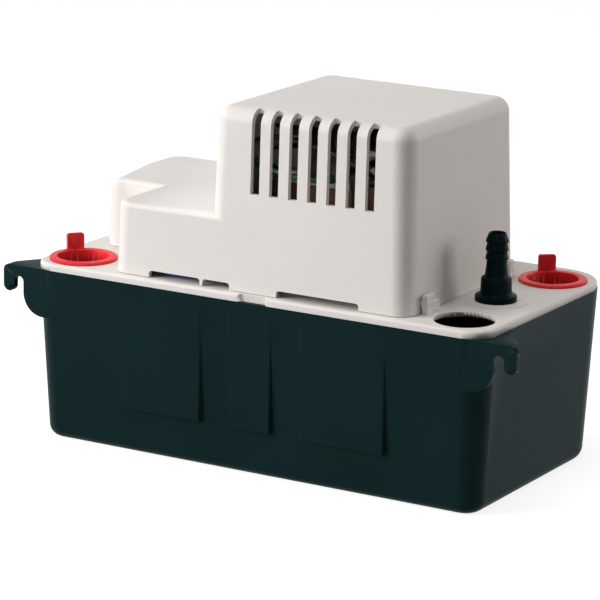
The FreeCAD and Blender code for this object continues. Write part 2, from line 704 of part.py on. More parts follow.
def motor_cover():
    shell = hood_form(COVER_BASE_Z, 0).cut(hood_form(COVER_BASE_Z - 2, COVER_WALL))
    cutters = vent_slots() + bottom_notches()
    window_z = DECK_Z + LATCH_HEIGHT - LATCH_NOSE_DROP - 0.2
    wall_x0 = COVER_RIGHT_X - COVER_WALL - 2
    for y0, y1 in ((FRONT_LATCH_Y0, FRONT_LATCH_Y1), (REAR_LATCH_Y0, REAR_LATCH_Y1)):
        tongue_y1 = min(y0 + LATCH_TONGUE, y1)
        cutters.append(block(wall_x0, COVER_RIGHT_X + 1, y0 + LATCH_THICKNESS, tongue_y1,
                             window_z, window_z + LATCH_NOSE_HEIGHT))
    half = GLAND_OUTSIDE / 2 - 1.5
    arch = bar_y(GLAND_X, COVER_REAR_Y - 6, COVER_REAR_Y + 1, gland_z(), 2 * half)
    cutters.append(arch)
    cutters.append(block(GLAND_X - half, GLAND_X + half, COVER_REAR_Y - 6, COVER_REAR_Y + 1,
                         COVER_BASE_Z - 1, gland_z()))
    return shell.cut(group(cutters))


def inlet_plug(x, y, tab_deg):
    """A cup with a flange that sits in an inlet hole, and an upright tab on the rear of the flange."""
    skirt = INLET_BORE / 2 - PLUG_CLEARANCE
    flange_z = DECK_Z + PLUG_FLANGE_HEIGHT
    floor_z = DECK_Z - PLUG_DEPTH
    cup = [
        (0, floor_z),
        (skirt - 1.0, floor_z),
        (skirt, floor_z + 2.5),
        (skirt, DECK_Z),
        (PLUG_FLANGE / 2, DECK_Z),
        (PLUG_FLANGE / 2, flange_z - 0.6),
        (PLUG_FLANGE / 2 - 0.6, flange_z),
        (skirt - PLUG_WALL + 0.6, flange_z),
        (skirt - PLUG_WALL, flange_z - 0.6),
        (skirt - PLUG_WALL, floor_z + PLUG_WALL),
        (0, floor_z + PLUG_WALL),
    ]
    body = turned(cup, x, y)
    half = PLUG_TAB_WIDTH / 2
    top_z = flange_z + PLUG_TAB_HEIGHT
    corner = PLUG_TAB_CORNER
    diagonal = corner * (1 - math.sqrt(0.5))
    root_z = DECK_Z + PLUG_FLANGE_HEIGHT / 2
    tab_steps = [
        (half, root_z),
        (half, top_z - corner),
        (half - diagonal, top_z - diagonal, half - corner, top_z),
        (corner - half, top_z),
        (diagonal - half, top_z - diagonal, -half, top_z - corner),
        (-half, root_z),
    ]
    inner_y = PLUG_TAB_RADIUS - PLUG_TAB_THICKNESS
    tab_wire = outline((0, root_z), tab_steps, lambda a, z: vec(a, inner_y, z))
    tab = Part.Face(tab_wire).extrude(vec(0, PLUG_TAB_THICKNESS, 0))
    tab.rotate(vec(0, 0, 0), UP, tab_deg - 90)
    tab.translate(vec(x, y, 0))
    return joined([body, tab])


def discharge_barb():
    flange_z = DECK_Z + BOSS_HEIGHT
    collar_z = flange_z + BARB_FLANGE_HEIGHT
    neck_z = collar_z + BARB_COLLAR_HEIGHT
    bore = BARB_BORE / 2
    crest = BARB_CREST / 2
    root = BARB_ROOT / 2
    shank = BARB_SHANK / 2
    steps = [
        (bore, DECK_Z - BARB_SHANK_LENGTH),
        (shank - 0.8, DECK_Z - BARB_SHANK_LENGTH),
        (shank, DECK_Z - BARB_SHANK_LENGTH + 0.8),
        (shank, flange_z),
        (BARB_FLANGE / 2, flange_z),
        (BARB_FLANGE / 2, collar_z - 0.6),
        (BARB_FLANGE / 2 - 0.6, collar_z),
        (BARB_COLLAR / 2 + 0.3, collar_z),
        (BARB_COLLAR / 2, neck_z - 0.8),
        (BARB_COLLAR / 2 - 0.8, neck_z),
        (crest + 0.1, neck_z),
        (root, neck_z + BARB_NECK_LENGTH),
    ]
    z = neck_z + BARB_NECK_LENGTH
    for index in range(BARB_COUNT):
        steps.append((crest, z + 0.2))
        steps.append((crest, z + 0.2 + BARB_LAND))
        last = index == BARB_COUNT - 1
        steps.append((root - 0.5 if last else root, z + BARB_PITCH))
        z += BARB_PITCH
    steps.append((bore + 0.7, z + 0.5))
    steps.append((bore, z))
    return turned(steps, BARB_X, BARB_Y)


def valve_bottom_z():
    return LID_UNDER_Z - VALVE_LENGTH


def seat_z():
    """Height of the narrow edge of the valve's cone seat."""
    return valve_bottom_z() + 3.0


def ball_z():
    """Height of the ball's centre when it rests just off the seat's edge."""
    reach = BALL_DIAMETER / 2 + BALL_GAP
    return seat_z() + math.sqrt(reach ** 2 - (VALVE_SEAT / 2) ** 2)


def check_valve_body():
    """The valve's body, with a cone seat, a chamber for the ball and a tail for the tube."""
    low_z = valve_bottom_z()
    tail_z = low_z - VALVE_TAIL
    seat = seat_z()
    chamber_top = DECK_Z - BARB_SHANK_LENGTH - 1
    thread_r = BARB_SHANK / 2 + THREAD_CLEARANCE
    cone = (VALVE_CHAMBER - VALVE_SEAT) / 2
    steps = [
        (NOZZLE_BORE / 2 - 0.5, tail_z),
        (NOZZLE_OUTSIDE / 2 - 0.6, tail_z),
        (NOZZLE_OUTSIDE / 2, tail_z + 1.5),
        (NOZZLE_OUTSIDE / 2, low_z),
        (VALVE_BODY / 2 - 1.5, low_z),
        (VALVE_BODY / 2, low_z + 1.5),
        (VALVE_BODY / 2, LID_UNDER_Z - 2.5),
        (VALVE_BODY / 2 + 2, LID_UNDER_Z - 2.5),
        (VALVE_BODY / 2 + 2, LID_UNDER_Z),
        (thread_r, LID_UNDER_Z),
        (thread_r, chamber_top),
        (VALVE_CHAMBER / 2, chamber_top),
        (VALVE_CHAMBER / 2, seat + cone),
        (VALVE_SEAT / 2, seat),
    ]
    return turned(steps, BARB_X, BARB_Y)


def check_valve_ball():
    return Part.makeSphere(BALL_DIAMETER / 2, vec(BARB_X, BARB_Y, ball_z()))


def stator_laminations():
    """C-frame stack: pole limbs round the rotor, a window, and a bar that holds the coil."""
    z0 = STACK_BOTTOM_Z
    z1 = z0 + STACK_HEIGHT
    x0 = MOTOR_X - STACK_LEFT
    x1 = MOTOR_X + STACK_RIGHT
    half = STACK_HALF_WIDTH
    frame = rounded_block(x0, x1, MOTOR_Y - half, MOTOR_Y + half, z0, z1, 3)
    window = block(MOTOR_X + WINDOW_LEFT, MOTOR_X + WINDOW_RIGHT,
                   MOTOR_Y - WINDOW_HALF, MOTOR_Y + WINDOW_HALF, z0 - 1, z1 + 1)
    bore = post(MOTOR_X, MOTOR_Y, z0 - 1, z1 + 1, ROTOR_DIAMETER + 2 * AIR_GAP)
    cuts = [window, bore]
    for side in (-1, 1):
        y = MOTOR_Y + side * (half + STACK_WAIST)
        cuts.append(post(MOTOR_X + WINDOW_RIGHT - 8, y, z0 - 1, z1 + 1, 4 * STACK_WAIST))
    for x, y in post_places():
        cuts.append(post(x, y, z0 - 1, z1 + 1, MOTOR_SCREW + 0.4))
    for x, y in shading_places():
        cuts.append(block(x - 1.6, x + 1.6, y - 1.6, y + 1.6, z0 - 1, z1 + 1))
    return frame.cut(group(cuts))


def shading_places():
    """Corners of the two pole tips where the copper shading rings pass through the stack."""
    return [(MOTOR_X - SHADING_X, MOTOR_Y - SHADING_Y), (MOTOR_X + SHADING_X, MOTOR_Y + SHADING_Y)]


def shading_rings():
    """Copper rings round one corner of each pole: through a slot, and back past the bore."""
    z0 = STACK_BOTTOM_Z - 1.2
    z1 = STACK_BOTTOM_Z + STACK_HEIGHT + 1.2
    rings = []
    for x, y in shading_places():
        side = 1 if x > MOTOR_X else -1
        reach = 4.5 * side
        low = min(x, x + reach) - 1.2
        high = max(x, x + reach) + 1.2
        core = block(x - 1.2, x + 1.2, y - 1.2, y + 1.2, z0, z1)
        top = block(low, high, y - 1.2, y + 1.2, z1 - 1.0, z1 + 0.8)
        bottom = block(low, high, y - 1.2, y + 1.2, z0 - 0.8, z0 + 1.0)
        rings.append(joined([core, top, bottom]))
    return group(rings)


def core_span():
    return MOTOR_X + WINDOW_RIGHT, MOTOR_X + STACK_RIGHT


def coil_bobbin():
    """Nylon bobbin round the coil bar: a square sleeve with a flange at each end."""
    x0, x1 = core_span()
    z0 = STACK_BOTTOM_Z
    z1 = z0 + STACK_HEIGHT
    gap = COIL_CLEARANCE
    y0 = MOTOR_Y - WINDOW_HALF + gap
    y1 = MOTOR_Y + WINDOW_HALF - gap
    wall = gap + COIL_WALL
    sleeve = block(x0 - wall, x1 + wall, y0, y1, z0 - wall, z1 + wall)
    flange = wall + COIL_BUILD + 0.8
    solids = [sleeve]
    for start in (y0, y1 - COIL_WALL):
        solids.append(block(x0 - flange, x1 + min(flange, COIL_RIGHT + 0.7), start, start + COIL_WALL,
                            z0 - flange, z1 + flange))
    body = joined(solids)
    return body.cut(block(x0 - gap, x1 + gap, y0 - 1, y1 + 1, z0 - gap, z1 + gap))


def winding_coil():
    """The wound copper between the bobbin's flanges, with round outer edges."""
    x0, x1 = core_span()
    z0 = STACK_BOTTOM_Z
    z1 = z0 + STACK_HEIGHT
    sleeve = COIL_CLEARANCE + COIL_WALL
    build = sleeve + COIL_BUILD
    y0 = MOTOR_Y - WINDOW_HALF + COIL_CLEARANCE + COIL_WALL
    y1 = MOTOR_Y + WINDOW_HALF - COIL_CLEARANCE - COIL_WALL
    right = min(build, COIL_RIGHT)
    body = block(x0 - build, x1 + right, y0, y1, z0 - build, z1 + build)
    along = edges_where(body, lambda e: abs(e.Vertexes[0].Y - e.Vertexes[-1].Y) > 1)
    body = body.makeFillet(4.0, along)
    return body.cut(block(x0 - sleeve, x1 + sleeve, y0 - 1, y1 + 1, z0 - sleeve, z1 + sleeve))


def rotor_core():
    """Laminated rotor with cast end rings and small balance fins on the top ring."""
    z0 = STACK_BOTTOM_Z
    z1 = z0 + STACK_HEIGHT
    core = post(MOTOR_X, MOTOR_Y, z0, z1, ROTOR_DIAMETER)
    ring = ROTOR_DIAMETER - 3
    ends = [pipe(MOTOR_X, MOTOR_Y, z0 - END_RING, z0, ring, ring - 9)]
    ends.append(pipe(MOTOR_X, MOTOR_Y, z1, z1 + END_RING, ring, ring - 9))
    body = joined([core] + ends)
    return body.cut(post(MOTOR_X, MOTOR_Y, z0 - 9, z1 + 9, SHAFT_DIAMETER))


def upper_bracket_z():
    return STACK_BOTTOM_Z + STACK_HEIGHT


def bearing_bracket(face_z, side):
    """A die-cast strap across the stack: two feet, sloping arms and a hub for the bearing."""
    half = MOTOR_SCREW_Y + 5
    foot = BRACKET_FOOT
    plate = BRACKET_PLATE
    rise = BRACKET_RISE

    def at(y, h):
        return vec(MOTOR_X, MOTOR_Y + y, face_z + side * h)

    steps = [
        (-half + 2 * foot, 0),
        (-half + 2 * foot + rise * 0.7, rise - plate),
        (half - 2 * foot - rise * 0.7, rise - plate),
        (half - 2 * foot, 0),
        (half, 0),
        (half, plate),
        (half - 2 * foot + 1, plate),
        (half - 2 * foot + 1 - rise * 0.7, rise),
        (-half + 2 * foot - 1 + rise * 0.7, rise),
        (-half + 2 * foot - 1, plate),
        (-half, plate),
    ]
    side_view = Part.Face(outline((-half, 0), steps, at))
    arm_width = 2 * MOTOR_SCREW_X + 10
    strap = side_view.extrude(vec(arm_width, 0, 0))
    strap.translate(vec(-arm_width / 2, 0, 0))
    z_low = min(face_z, face_z + side * (rise + 4))
    z_high = max(face_z, face_z + side * (rise + 4))
    waist = joined([
        block(MOTOR_X - BRACKET_WIDTH / 2, MOTOR_X + BRACKET_WIDTH / 2, MOTOR_Y - half, MOTOR_Y + half,
              z_low, z_high),
        block(MOTOR_X - arm_width / 2, MOTOR_X + arm_width / 2, MOTOR_Y - half, MOTOR_Y - half + 2 * foot,
              z_low, z_high),
        block(MOTOR_X - arm_width / 2, MOTOR_X + arm_width / 2, MOTOR_Y + half - 2 * foot, MOTOR_Y + half,
              z_low, z_high),
    ])
    strap = strap.common(waist)
    hub_z0 = face_z + side * (rise - plate - 3)
    hub_z1 = hub_z0 + side * BEARING_LENGTH
    hub = post(MOTOR_X, MOTOR_Y, min(hub_z0, hub_z1), max(hub_z0, hub_z1), BRACKET_HUB)
    body = joined([strap, hub])
    holes = [post(MOTOR_X, MOTOR_Y, z_low - 9, z_high + 9, BEARING_DIAMETER)]
    for x, y in post_places():
        holes.append(post(x, y, z_low - 9, z_high + 9, MOTOR_SCREW + 0.3))
    return body.cut(group(holes)), min(hub_z0, hub_z1)


def bearing(z0):
    bore = SHAFT_DIAMETER + 2 * RUNNING_CLEARANCE
    return pipe(MOTOR_X, MOTOR_Y, z0, z0 + BEARING_LENGTH, BEARING_DIAMETER, bore)


def screw(x, y, head_z, tip_z, diameter, head_up):
    """A pan-head screw with a cross slot; head_up says which way the head faces."""
    way = 1 if head_up else -1
    height = HEAD_HEIGHT
    low = min(head_z, tip_z)
    high = max(head_z, tip_z)
    shank = post(x, y, low, high, diameter)
    crown = head_z + way * height
    head = post(x, y, min(head_z, crown), max(head_z, crown), 2 * diameter)
    head = rounded_flat_edges(head, crown, 0.4 * height)
    slot = 0.8
    inner = head_z + way * height * 0.45
    slot_low = min(inner, crown + way)
    slot_high = max(inner, crown + way)
    reach = diameter * 0.6
    cross = joined([
        block(x - reach, x + reach, y - slot / 2, y + slot / 2, slot_low, slot_high),
        block(x - slot / 2, x + slot / 2, y - reach, y + reach, slot_low, slot_high),
    ])
    return joined([shank, head]).cut(cross)


def motor_screws():
    head_z = upper_bracket_z() + BRACKET_PLATE
    tip_z = LID_UNDER_Z + 10
    return group([screw(x, y, head_z, tip_z, MOTOR_SCREW, True) for x, y in post_places()])


def fan_z():
    return upper_bracket_z() + BRACKET_RISE - BRACKET_PLATE - 3 + BEARING_LENGTH + FAN_GAP


def fan_blade(angle_deg):
    """One blade, lofted from a steep root section to a flatter tip section."""
    z_mid = fan_z() + FAN_HEIGHT / 2
    sections = []
    for radius, chord, pitch in ((FAN_HUB / 2 - 1, 9.0, 48.0), (FAN_DIAMETER / 2, 17.0, 24.0)):
        along = math.cos(math.radians(pitch)) * chord / 2
        rise = math.sin(math.radians(pitch)) * chord / 2
        thick = FAN_BLADE / 2
        wire = Part.makePolygon([
            vec(radius, -along, z_mid - rise - thick),
            vec(radius, along, z_mid + rise - thick),
            vec(radius, along, z_mid + rise + thick),
            vec(radius, -along, z_mid - rise + thick),
            vec(radius, -along, z_mid - rise - thick),
        ])
        sections.append(wire)
    blade = Part.makeLoft(sections, True, True)
    blade.rotate(vec(0, 0, 0), UP, angle_deg)
    blade.translate(vec(MOTOR_X, MOTOR_Y, 0))
    return blade


def cooling_fan():
    z0 = fan_z()
    hub = post(MOTOR_X, MOTOR_Y, z0, z0 + FAN_HEIGHT, FAN_HUB)
    blades = [fan_blade(index * 360 / FAN_BLADES) for index in range(FAN_BLADES)]
    body = joined([hub] + blades)
    trim = post(MOTOR_X, MOTOR_Y, z0, z0 + FAN_HEIGHT, FAN_DIAMETER)
    return body.common(trim).cut(post(MOTOR_X, MOTOR_Y, z0 - 1, z0 + FAN_HEIGHT + 1, SHAFT_DIAMETER))


def chamber_z():
    """Height of the floor of the impeller chamber."""
    return TANK_FLOOR + FLOOR_GAP + STRAINER_FOOT + STRAINER_PLATE + VOLUTE_WALL


def impeller_z():
    return chamber_z() + IMPELLER_GAP


def motor_shaft():
    return post(MOTOR_X, MOTOR_Y, impeller_z() + 1.5, fan_z() + FAN_HEIGHT + 1, SHAFT_DIAMETER)


def shaft_slinger():
    z = LID_UNDER_Z - 8
    steps = [
        (SHAFT_DIAMETER / 2, z),
        (9, z - 1.5),
        (9.5, z - 0.5),
        (5.5, z + 1.8),
        (5.5, z + 4),
        (SHAFT_DIAMETER / 2, z + 4),
    ]
    return turned(steps, MOTOR_X, MOTOR_Y)


def spiral(offset, z0, z1):
    """A prism with the volute's outline: four quarter arcs of growing radius."""
    edges = []
    centre = vec(MOTOR_X, MOTOR_Y, z0)
    first = None
    last = None
    for index in range(4):
        radius = VOLUTE_START + index * VOLUTE_GROWTH + offset
        points = []
        for quarter in (0, 0.5, 1):
            angle = math.radians(-90 + 90 * (index + quarter))
            points.append(centre + vec(math.cos(angle), math.sin(angle), 0) * radius)
        edges.append(Part.Arc(*points).toShape())
        first = first or points[0]
        last = points[2]
        turn = math.radians(90 * index)
        centre = centre - vec(math.cos(turn), math.sin(turn), 0) * VOLUTE_GROWTH
    edges.append(Part.LineSegment(last, first).toShape())
    return Part.Face(Part.Wire(edges)).extrude(vec(0, 0, z1 - z0))


def nozzle_y():
    return MOTOR_Y - VOLUTE_START - 2 * VOLUTE_GROWTH


def nozzle_z():
    return chamber_z() + VOLUTE_HEIGHT / 2


def ear_places():
    places = []
    for angle in (35, 145, 215):
        turn = math.radians(angle)
        places.append((MOTOR_X + VOLUTE_EAR_RADIUS * math.cos(turn),
                       MOTOR_Y + VOLUTE_EAR_RADIUS * math.sin(turn)))
    return places


def ears(z0, z1):
    """Screw ears, each carried on a short web from the spiral wall."""
    solids = []
    for x, y in ear_places():
        solids.append(post(x, y, z0, z1, VOLUTE_EAR))
        length = VOLUTE_EAR_RADIUS - VOLUTE_START
        web = block(VOLUTE_START + 1, VOLUTE_START + length, -VOLUTE_EAR / 2, VOLUTE_EAR / 2, z0, z1)
        web.rotate(vec(0, 0, 0), UP, math.degrees(math.atan2(y - MOTOR_Y, x - MOTOR_X)))
        web.translate(vec(MOTOR_X, MOTOR_Y, 0))
        solids.append(web)
    return solids


def volute_housing():
    """Spiral housing with the inlet eye in its floor and a nozzle that leaves towards +X."""
    floor_z = chamber_z() - VOLUTE_WALL
    top_z = chamber_z() + VOLUTE_HEIGHT
    shell = spiral(VOLUTE_WALL, floor_z, top_z)
    y = nozzle_y()
    z = nozzle_z()
    root_end = MOTOR_X + VOLUTE_START + 6
    nozzle = bar_x(MOTOR_X - 2, root_end, y, z, NOZZLE_ROOT)
    nozzle = nozzle.common(block(MOTOR_X - 9, root_end + 9, y - 20, y + 20, floor_z, top_z))
    tail = bar_x(root_end - 1, MOTOR_X + NOZZLE_REACH, y, z, NOZZLE_OUTSIDE)
    body = joined([shell, nozzle, tail] + ears(floor_z, top_z))
    body = body.cut(spiral(0, chamber_z(), top_z + 1))
    body = body.cut(bar_x(MOTOR_X, MOTOR_X + NOZZLE_REACH + 1, y, z, NOZZLE_BORE))
    body = body.cut(post(MOTOR_X, MOTOR_Y, floor_z - 1, chamber_z() + 1, VOLUTE_EYE))
    holes = [post(x, y, floor_z - 1, top_z + 1, SMALL_SCREW) for x, y in ear_places()]
    return body.cut(group(holes))


def impeller():
    """Disc, hub and backward-curved vanes that hang below the disc."""
    z0 = impeller_z()
    disc_z = z0 + IMPELLER_VANE_HEIGHT
    disc = post(MOTOR_X, MOTOR_Y, disc_z, disc_z + IMPELLER_DISC, IMPELLER_DIAMETER)
    hub = post(MOTOR_X, MOTOR_Y, disc_z - 4.5, disc_z + IMPELLER_DISC + 1, IMPELLER_HUB)
    radius = IMPELLER_DIAMETER / 2
    ring = pipe(MOTOR_X, MOTOR_Y, z0, disc_z, IMPELLER_DIAMETER, IMPELLER_HUB - 2)
    vanes = []
    for index in range(IMPELLER_VANES):
        arc_r = radius * 0.85
        offset = radius * 0.62
        curve = pipe(offset, offset * 0.55, z0, disc_z, 2 * arc_r, 2 * (arc_r - VANE_WALL))
        half_plane = block(-radius, 2 * radius, -2 * radius, 0.2 * radius, z0, disc_z)
        vane = curve.common(half_plane)
        vane.rotate(vec(0, 0, 0), UP, index * 360 / IMPELLER_VANES)
        vane.translate(vec(MOTOR_X, MOTOR_Y, 0))
        vanes.append(vane.common(ring))
    body = joined([disc, hub] + vanes)
    bore_z = impeller_z() + 1.5
    return body.cut(post(MOTOR_X, MOTOR_Y, bore_z, disc_z + 20, SHAFT_DIAMETER))


def pump_column():
    """Column between lid and volute: flanges at both ends and windows in its wall."""
    top_z = LID_UNDER_Z
    low_z = chamber_z() + VOLUTE_HEIGHT
    half = COLUMN_TOP_SQUARE / 2
    top = rounded_block(MOTOR_X - half, MOTOR_X + half, MOTOR_Y - half, MOTOR_Y + half,
                        top_z - COLUMN_FLANGE, top_z, 6)
    tube = post(MOTOR_X, MOTOR_Y, low_z, top_z, COLUMN_DIAMETER)
    flange = spiral(VOLUTE_WALL, low_z, low_z + COLUMN_FLANGE)
    body = joined([top, tube, flange] + ears(low_z, low_z + COLUMN_FLANGE))
    inside = COLUMN_DIAMETER - 2 * COLUMN_WALL
    cuts = [post(MOTOR_X, MOTOR_Y, low_z + COLUMN_FLANGE, top_z + 1, inside)]
    cuts.append(post(MOTOR_X, MOTOR_Y, low_z - 1, top_z, SHAFT_DIAMETER + 1.6))
    window_z0 = low_z + COLUMN_FLANGE + 4
    window_z1 = top_z - COLUMN_FLANGE - 4
    reach = COLUMN_DIAMETER
    half_window = COLUMN_WINDOW_WIDTH / 2
    cuts.append(block(MOTOR_X - reach, MOTOR_X + reach, MOTOR_Y - half_window, MOTOR_Y + half_window,
                      window_z0, window_z1))
    for x, y in ear_places():
        cuts.append(post(x, y, low_z - 1, low_z + COLUMN_FLANGE + 1, SMALL_SCREW))
    for x, y in column_screw_places():
        cuts.append(post(x, y, top_z - COLUMN_FLANGE - 1, top_z + 1, SMALL_SCREW))
    return body.cut(group(cuts))


def column_screws():
    head_z = LID_UNDER_Z - COLUMN_FLANGE
    return group([screw(x, y, head_z, DECK_Z - 0.5, SMALL_SCREW, False) for x, y in column_screw_places()])


def volute_screws():
    head_z = chamber_z() - VOLUTE_WALL
    tip_z = chamber_z() + VOLUTE_HEIGHT + COLUMN_FLANGE - 0.5
    return group([screw(x, y, head_z, tip_z, SMALL_SCREW, False) for x, y in ear_places()])


def inlet_strainer():
    """Slotted plate under the inlet eye, on feet that stand just clear of the tank floor."""
    top_z = chamber_z() - VOLUTE_WALL
    low_z = top_z - STRAINER_PLATE
    plate = post(MOTOR_X, MOTOR_Y, low_z, top_z, 2 * (VOLUTE_START - 2))
    spigot = post(MOTOR_X, MOTOR_Y, low_z, top_z + VOLUTE_WALL - 0.5, VOLUTE_EYE - 0.2)
    eye = post(MOTOR_X, MOTOR_Y, low_z + STRAINER_PLATE / 2, top_z + VOLUTE_WALL, VOLUTE_EYE - 3)
    solids = [plate, spigot]
    for angle in (30, 150, 270):
        foot = block(VOLUTE_START - 5, VOLUTE_START - 2.2, -3, 3, low_z - STRAINER_FOOT, low_z)
        foot.rotate(vec(0, 0, 0), UP, angle)
        foot.translate(vec(MOTOR_X, MOTOR_Y, 0))
        solids.append(foot)
    body = joined(solids).cut(eye)
    slots = []
    for index in range(5):
        x = MOTOR_X + (index - 2) * 2.4
        reach = 4.2 if index in (1, 2, 3) else 2.6
        slots.append(block(x - 0.6, x + 0.6, MOTOR_Y - reach, MOTOR_Y + reach, low_z - 1, top_z))
    return body.cut(group(slots))


def routed_path(points, radius_limit):
    """Straight runs joined by tangent arcs through a list of points."""
    edges = []
    here = points[0]
    count = len(points)
    for index in range(1, count - 1):
        before = points[index - 1]
        corner = points[index]
        after = points[index + 1]
        way_in = (corner - before).normalize()
        way_out = (after - corner).normalize()
        half_turn = way_in.getAngle(way_out) / 2
        run = min((corner - before).Length, (after - corner).Length)
        radius = min(0.45 * run / math.tan(half_turn), radius_limit)
        tangent = radius * math.tan(half_turn)
        start = corner - way_in * tangent
        end = corner + way_out * tangent
        inward = (way_out - way_in).normalize()
        middle = corner + inward * (radius / math.cos(half_turn) - radius)
        if (start - here).Length > 1e-4:
            edges.append(Part.LineSegment(here, start).toShape())
        edges.append(Part.Arc(start, middle, end).toShape())
        here = end
    edges.append(Part.LineSegment(here, points[-1]).toShape())
    return Part.Wire(edges)


def swept(points, diameter, radius_limit=400.0):
    path = routed_path(points, radius_limit)
    way = (points[1] - points[0]).normalize()
    ring = Part.Wire(Part.makeCircle(diameter / 2, points[0], way))
    solid = path.makePipeShell([ring], True, False)
    return solid


def discharge_tube():
    """Soft tube from the volute's nozzle round and up to the check valve's tail."""
    z = nozzle_z()
    start_x = MOTOR_X + NOZZLE_REACH - TUBE_LAP
    top_z = valve_bottom_z() - VALVE_TAIL + TUBE_LAP
    points = [
        vec(start_x, nozzle_y(), z),
        vec(start_x + 22, nozzle_y(), z),
        vec(BARB_X, BARB_Y, z),
        vec(BARB_X, BARB_Y, top_z),
    ]
    outer = swept(points, TUBE_BORE + 2 * TUBE_WALL, 20.0)
    inner = swept(points, TUBE_BORE, 20.0)
    return outer.cut(inner)


def float_frame(shape):
    """Turn a piece drawn with the arm level down to the float's rest angle."""
    shape.rotate(vec(FLOAT_PIVOT_X, FLOAT_Y, FLOAT_PIVOT_Z), vec(0, 1, 0), -FLOAT_REST_DEG)
    return shape


def float_arm():
    """Bent arm: a pivot boss, a pad under the push rod, and a leg down into the float."""
    half = FLOAT_ARM_WIDTH / 2
    z_top = FLOAT_PIVOT_Z + FLOAT_ARM_HEIGHT / 2
    z_low = FLOAT_PIVOT_Z - FLOAT_ARM_HEIGHT / 2
    end_x = FLOAT_PIVOT_X - FLOAT_ARM_LENGTH
    beam = block(end_x, FLOAT_PIVOT_X, FLOAT_Y - half, FLOAT_Y + half, z_low, z_top)
    boss = bar_y(FLOAT_PIVOT_X, FLOAT_Y - half, FLOAT_Y + half, FLOAT_PIVOT_Z, 8)
    leg = block(end_x, end_x + FLOAT_ARM_HEIGHT, FLOAT_Y - half, FLOAT_Y + half, z_low - FLOAT_LEG, z_top)
    web = block(end_x + FLOAT_ARM_HEIGHT, end_x + FLOAT_ARM_HEIGHT + 8, FLOAT_Y - 1, FLOAT_Y + 1,
                z_low - 8, z_low)
    body = joined([beam, boss, leg, web])
    pin_bore = FLOAT_PIN + 2 * RUNNING_CLEARANCE
    body = body.cut(bar_y(FLOAT_PIVOT_X, FLOAT_Y - 20, FLOAT_Y + 20, FLOAT_PIVOT_Z, pin_bore))
    return float_frame(body)


def float_block():
    """Closed-cell float with rounded edges, and a socket for the arm's leg."""
    centre_x = FLOAT_PIVOT_X - FLOAT_ARM_LENGTH + FLOAT_ARM_HEIGHT / 2
    top_z = FLOAT_PIVOT_Z - FLOAT_ARM_HEIGHT / 2 - FLOAT_LEG + 9
    x0 = centre_x - FLOAT_LENGTH / 2
    x1 = centre_x + FLOAT_LENGTH / 2
    y0 = FLOAT_Y - FLOAT_WIDTH / 2
    y1 = FLOAT_Y + FLOAT_WIDTH / 2
    body = rounded_block(x0, x1, y0, y1, top_z - FLOAT_HEIGHT, top_z, 6)
    body = rounded_flat_edges(body, top_z, 2.5)
    body = rounded_flat_edges(body, top_z - FLOAT_HEIGHT, 2.5)
    half = FLOAT_ARM_WIDTH / 2 + 0.1
    leg_x0 = FLOAT_PIVOT_X - FLOAT_ARM_LENGTH - 0.1
    leg_x1 = leg_x0 + FLOAT_ARM_HEIGHT + 0.2
    socket_z = FLOAT_PIVOT_Z - FLOAT_ARM_HEIGHT / 2 - FLOAT_LEG - 0.1
    body = body.cut(block(leg_x0, leg_x1, FLOAT_Y - half, FLOAT_Y + half, socket_z, top_z + 1))
    web_z = FLOAT_PIVOT_Z - FLOAT_ARM_HEIGHT / 2 - 8.1
    body = body.cut(block(leg_x1 - 0.1, leg_x1 + 8.1, FLOAT_Y - 1.1, FLOAT_Y + 1.1, web_z, top_z + 1))
    return float_frame(body)


def float_pin():
    reach = FLOAT_ARM_WIDTH / 2 + EAR_GAP + EAR_THICKNESS
    return bar_y(FLOAT_PIVOT_X, FLOAT_Y - reach - 0.8, FLOAT_Y + reach + 0.8, FLOAT_PIVOT_Z, FLOAT_PIN)


def arm_top_z():
    """Height of the arm's upper face under the push rod, at rest."""
    turn = math.radians(FLOAT_REST_DEG)
    return FLOAT_PIVOT_Z + FLOAT_ARM_HEIGHT / 2 / math.cos(turn) - ROD_OFFSET * math.tan(turn)


def rod_tip_centre_z():
    """Height of the centre of the rod's round tip, which rides just off the arm."""
    return arm_top_z() + (ROD_DIAMETER / 2 + ROD_GAP) / math.cos(math.radians(FLOAT_REST_DEG))


def lever_rest_drop(x):
    """How far the switch lever's lower face lies below its pivot at a place x, at rest."""
    turn = math.radians(lever_rest_deg())
    return (LEVER_PIVOT_X - x) * math.tan(turn) + LEVER_THICKNESS / 2 / math.cos(turn)


def rod_lift():
    return 2 * ROD_OFFSET * math.tan(math.radians(FLOAT_SWING_DEG / 2))


def lever_swing_deg():
    arm = LEVER_PIVOT_X - rod_x()
    return 2 * math.degrees(math.asin(rod_lift() / 2 / arm))


def lever_rest_deg():
    return lever_swing_deg() / 2 + LEVER_DROOP_DEG


def lever_pivot_z():
    return SWITCH_BOTTOM_Z - LEVER_PIVOT_DROP


def rod_top_z():
    return lever_pivot_z() - lever_rest_drop(rod_x() - ROD_DIAMETER / 2) - ROD_GAP


def push_rod():
    """Rod between float arm and switch levers, with a cross bar that lifts both levers."""
    top_z = rod_top_z()
    tip_z = rod_tip_centre_z()
    rod = post(rod_x(), FLOAT_Y, tip_z, top_z, ROD_DIAMETER)
    tip = Part.makeSphere(ROD_DIAMETER / 2, vec(rod_x(), FLOAT_Y, tip_z))
    half = SWITCH_PITCH / 2 + LEVER_WIDTH / 2
    bar = block(rod_x() - ROD_DIAMETER / 2, rod_x() + ROD_DIAMETER / 2, FLOAT_Y - half, FLOAT_Y + half,
                top_z - ROD_BAR, top_z)
    return joined([rod, tip, bar])


def switch_places():
    return [FLOAT_Y - SWITCH_PITCH / 2, FLOAT_Y + SWITCH_PITCH / 2]


def switch_x0():
    return LEVER_PIVOT_X - SWITCH_LENGTH + 3.0


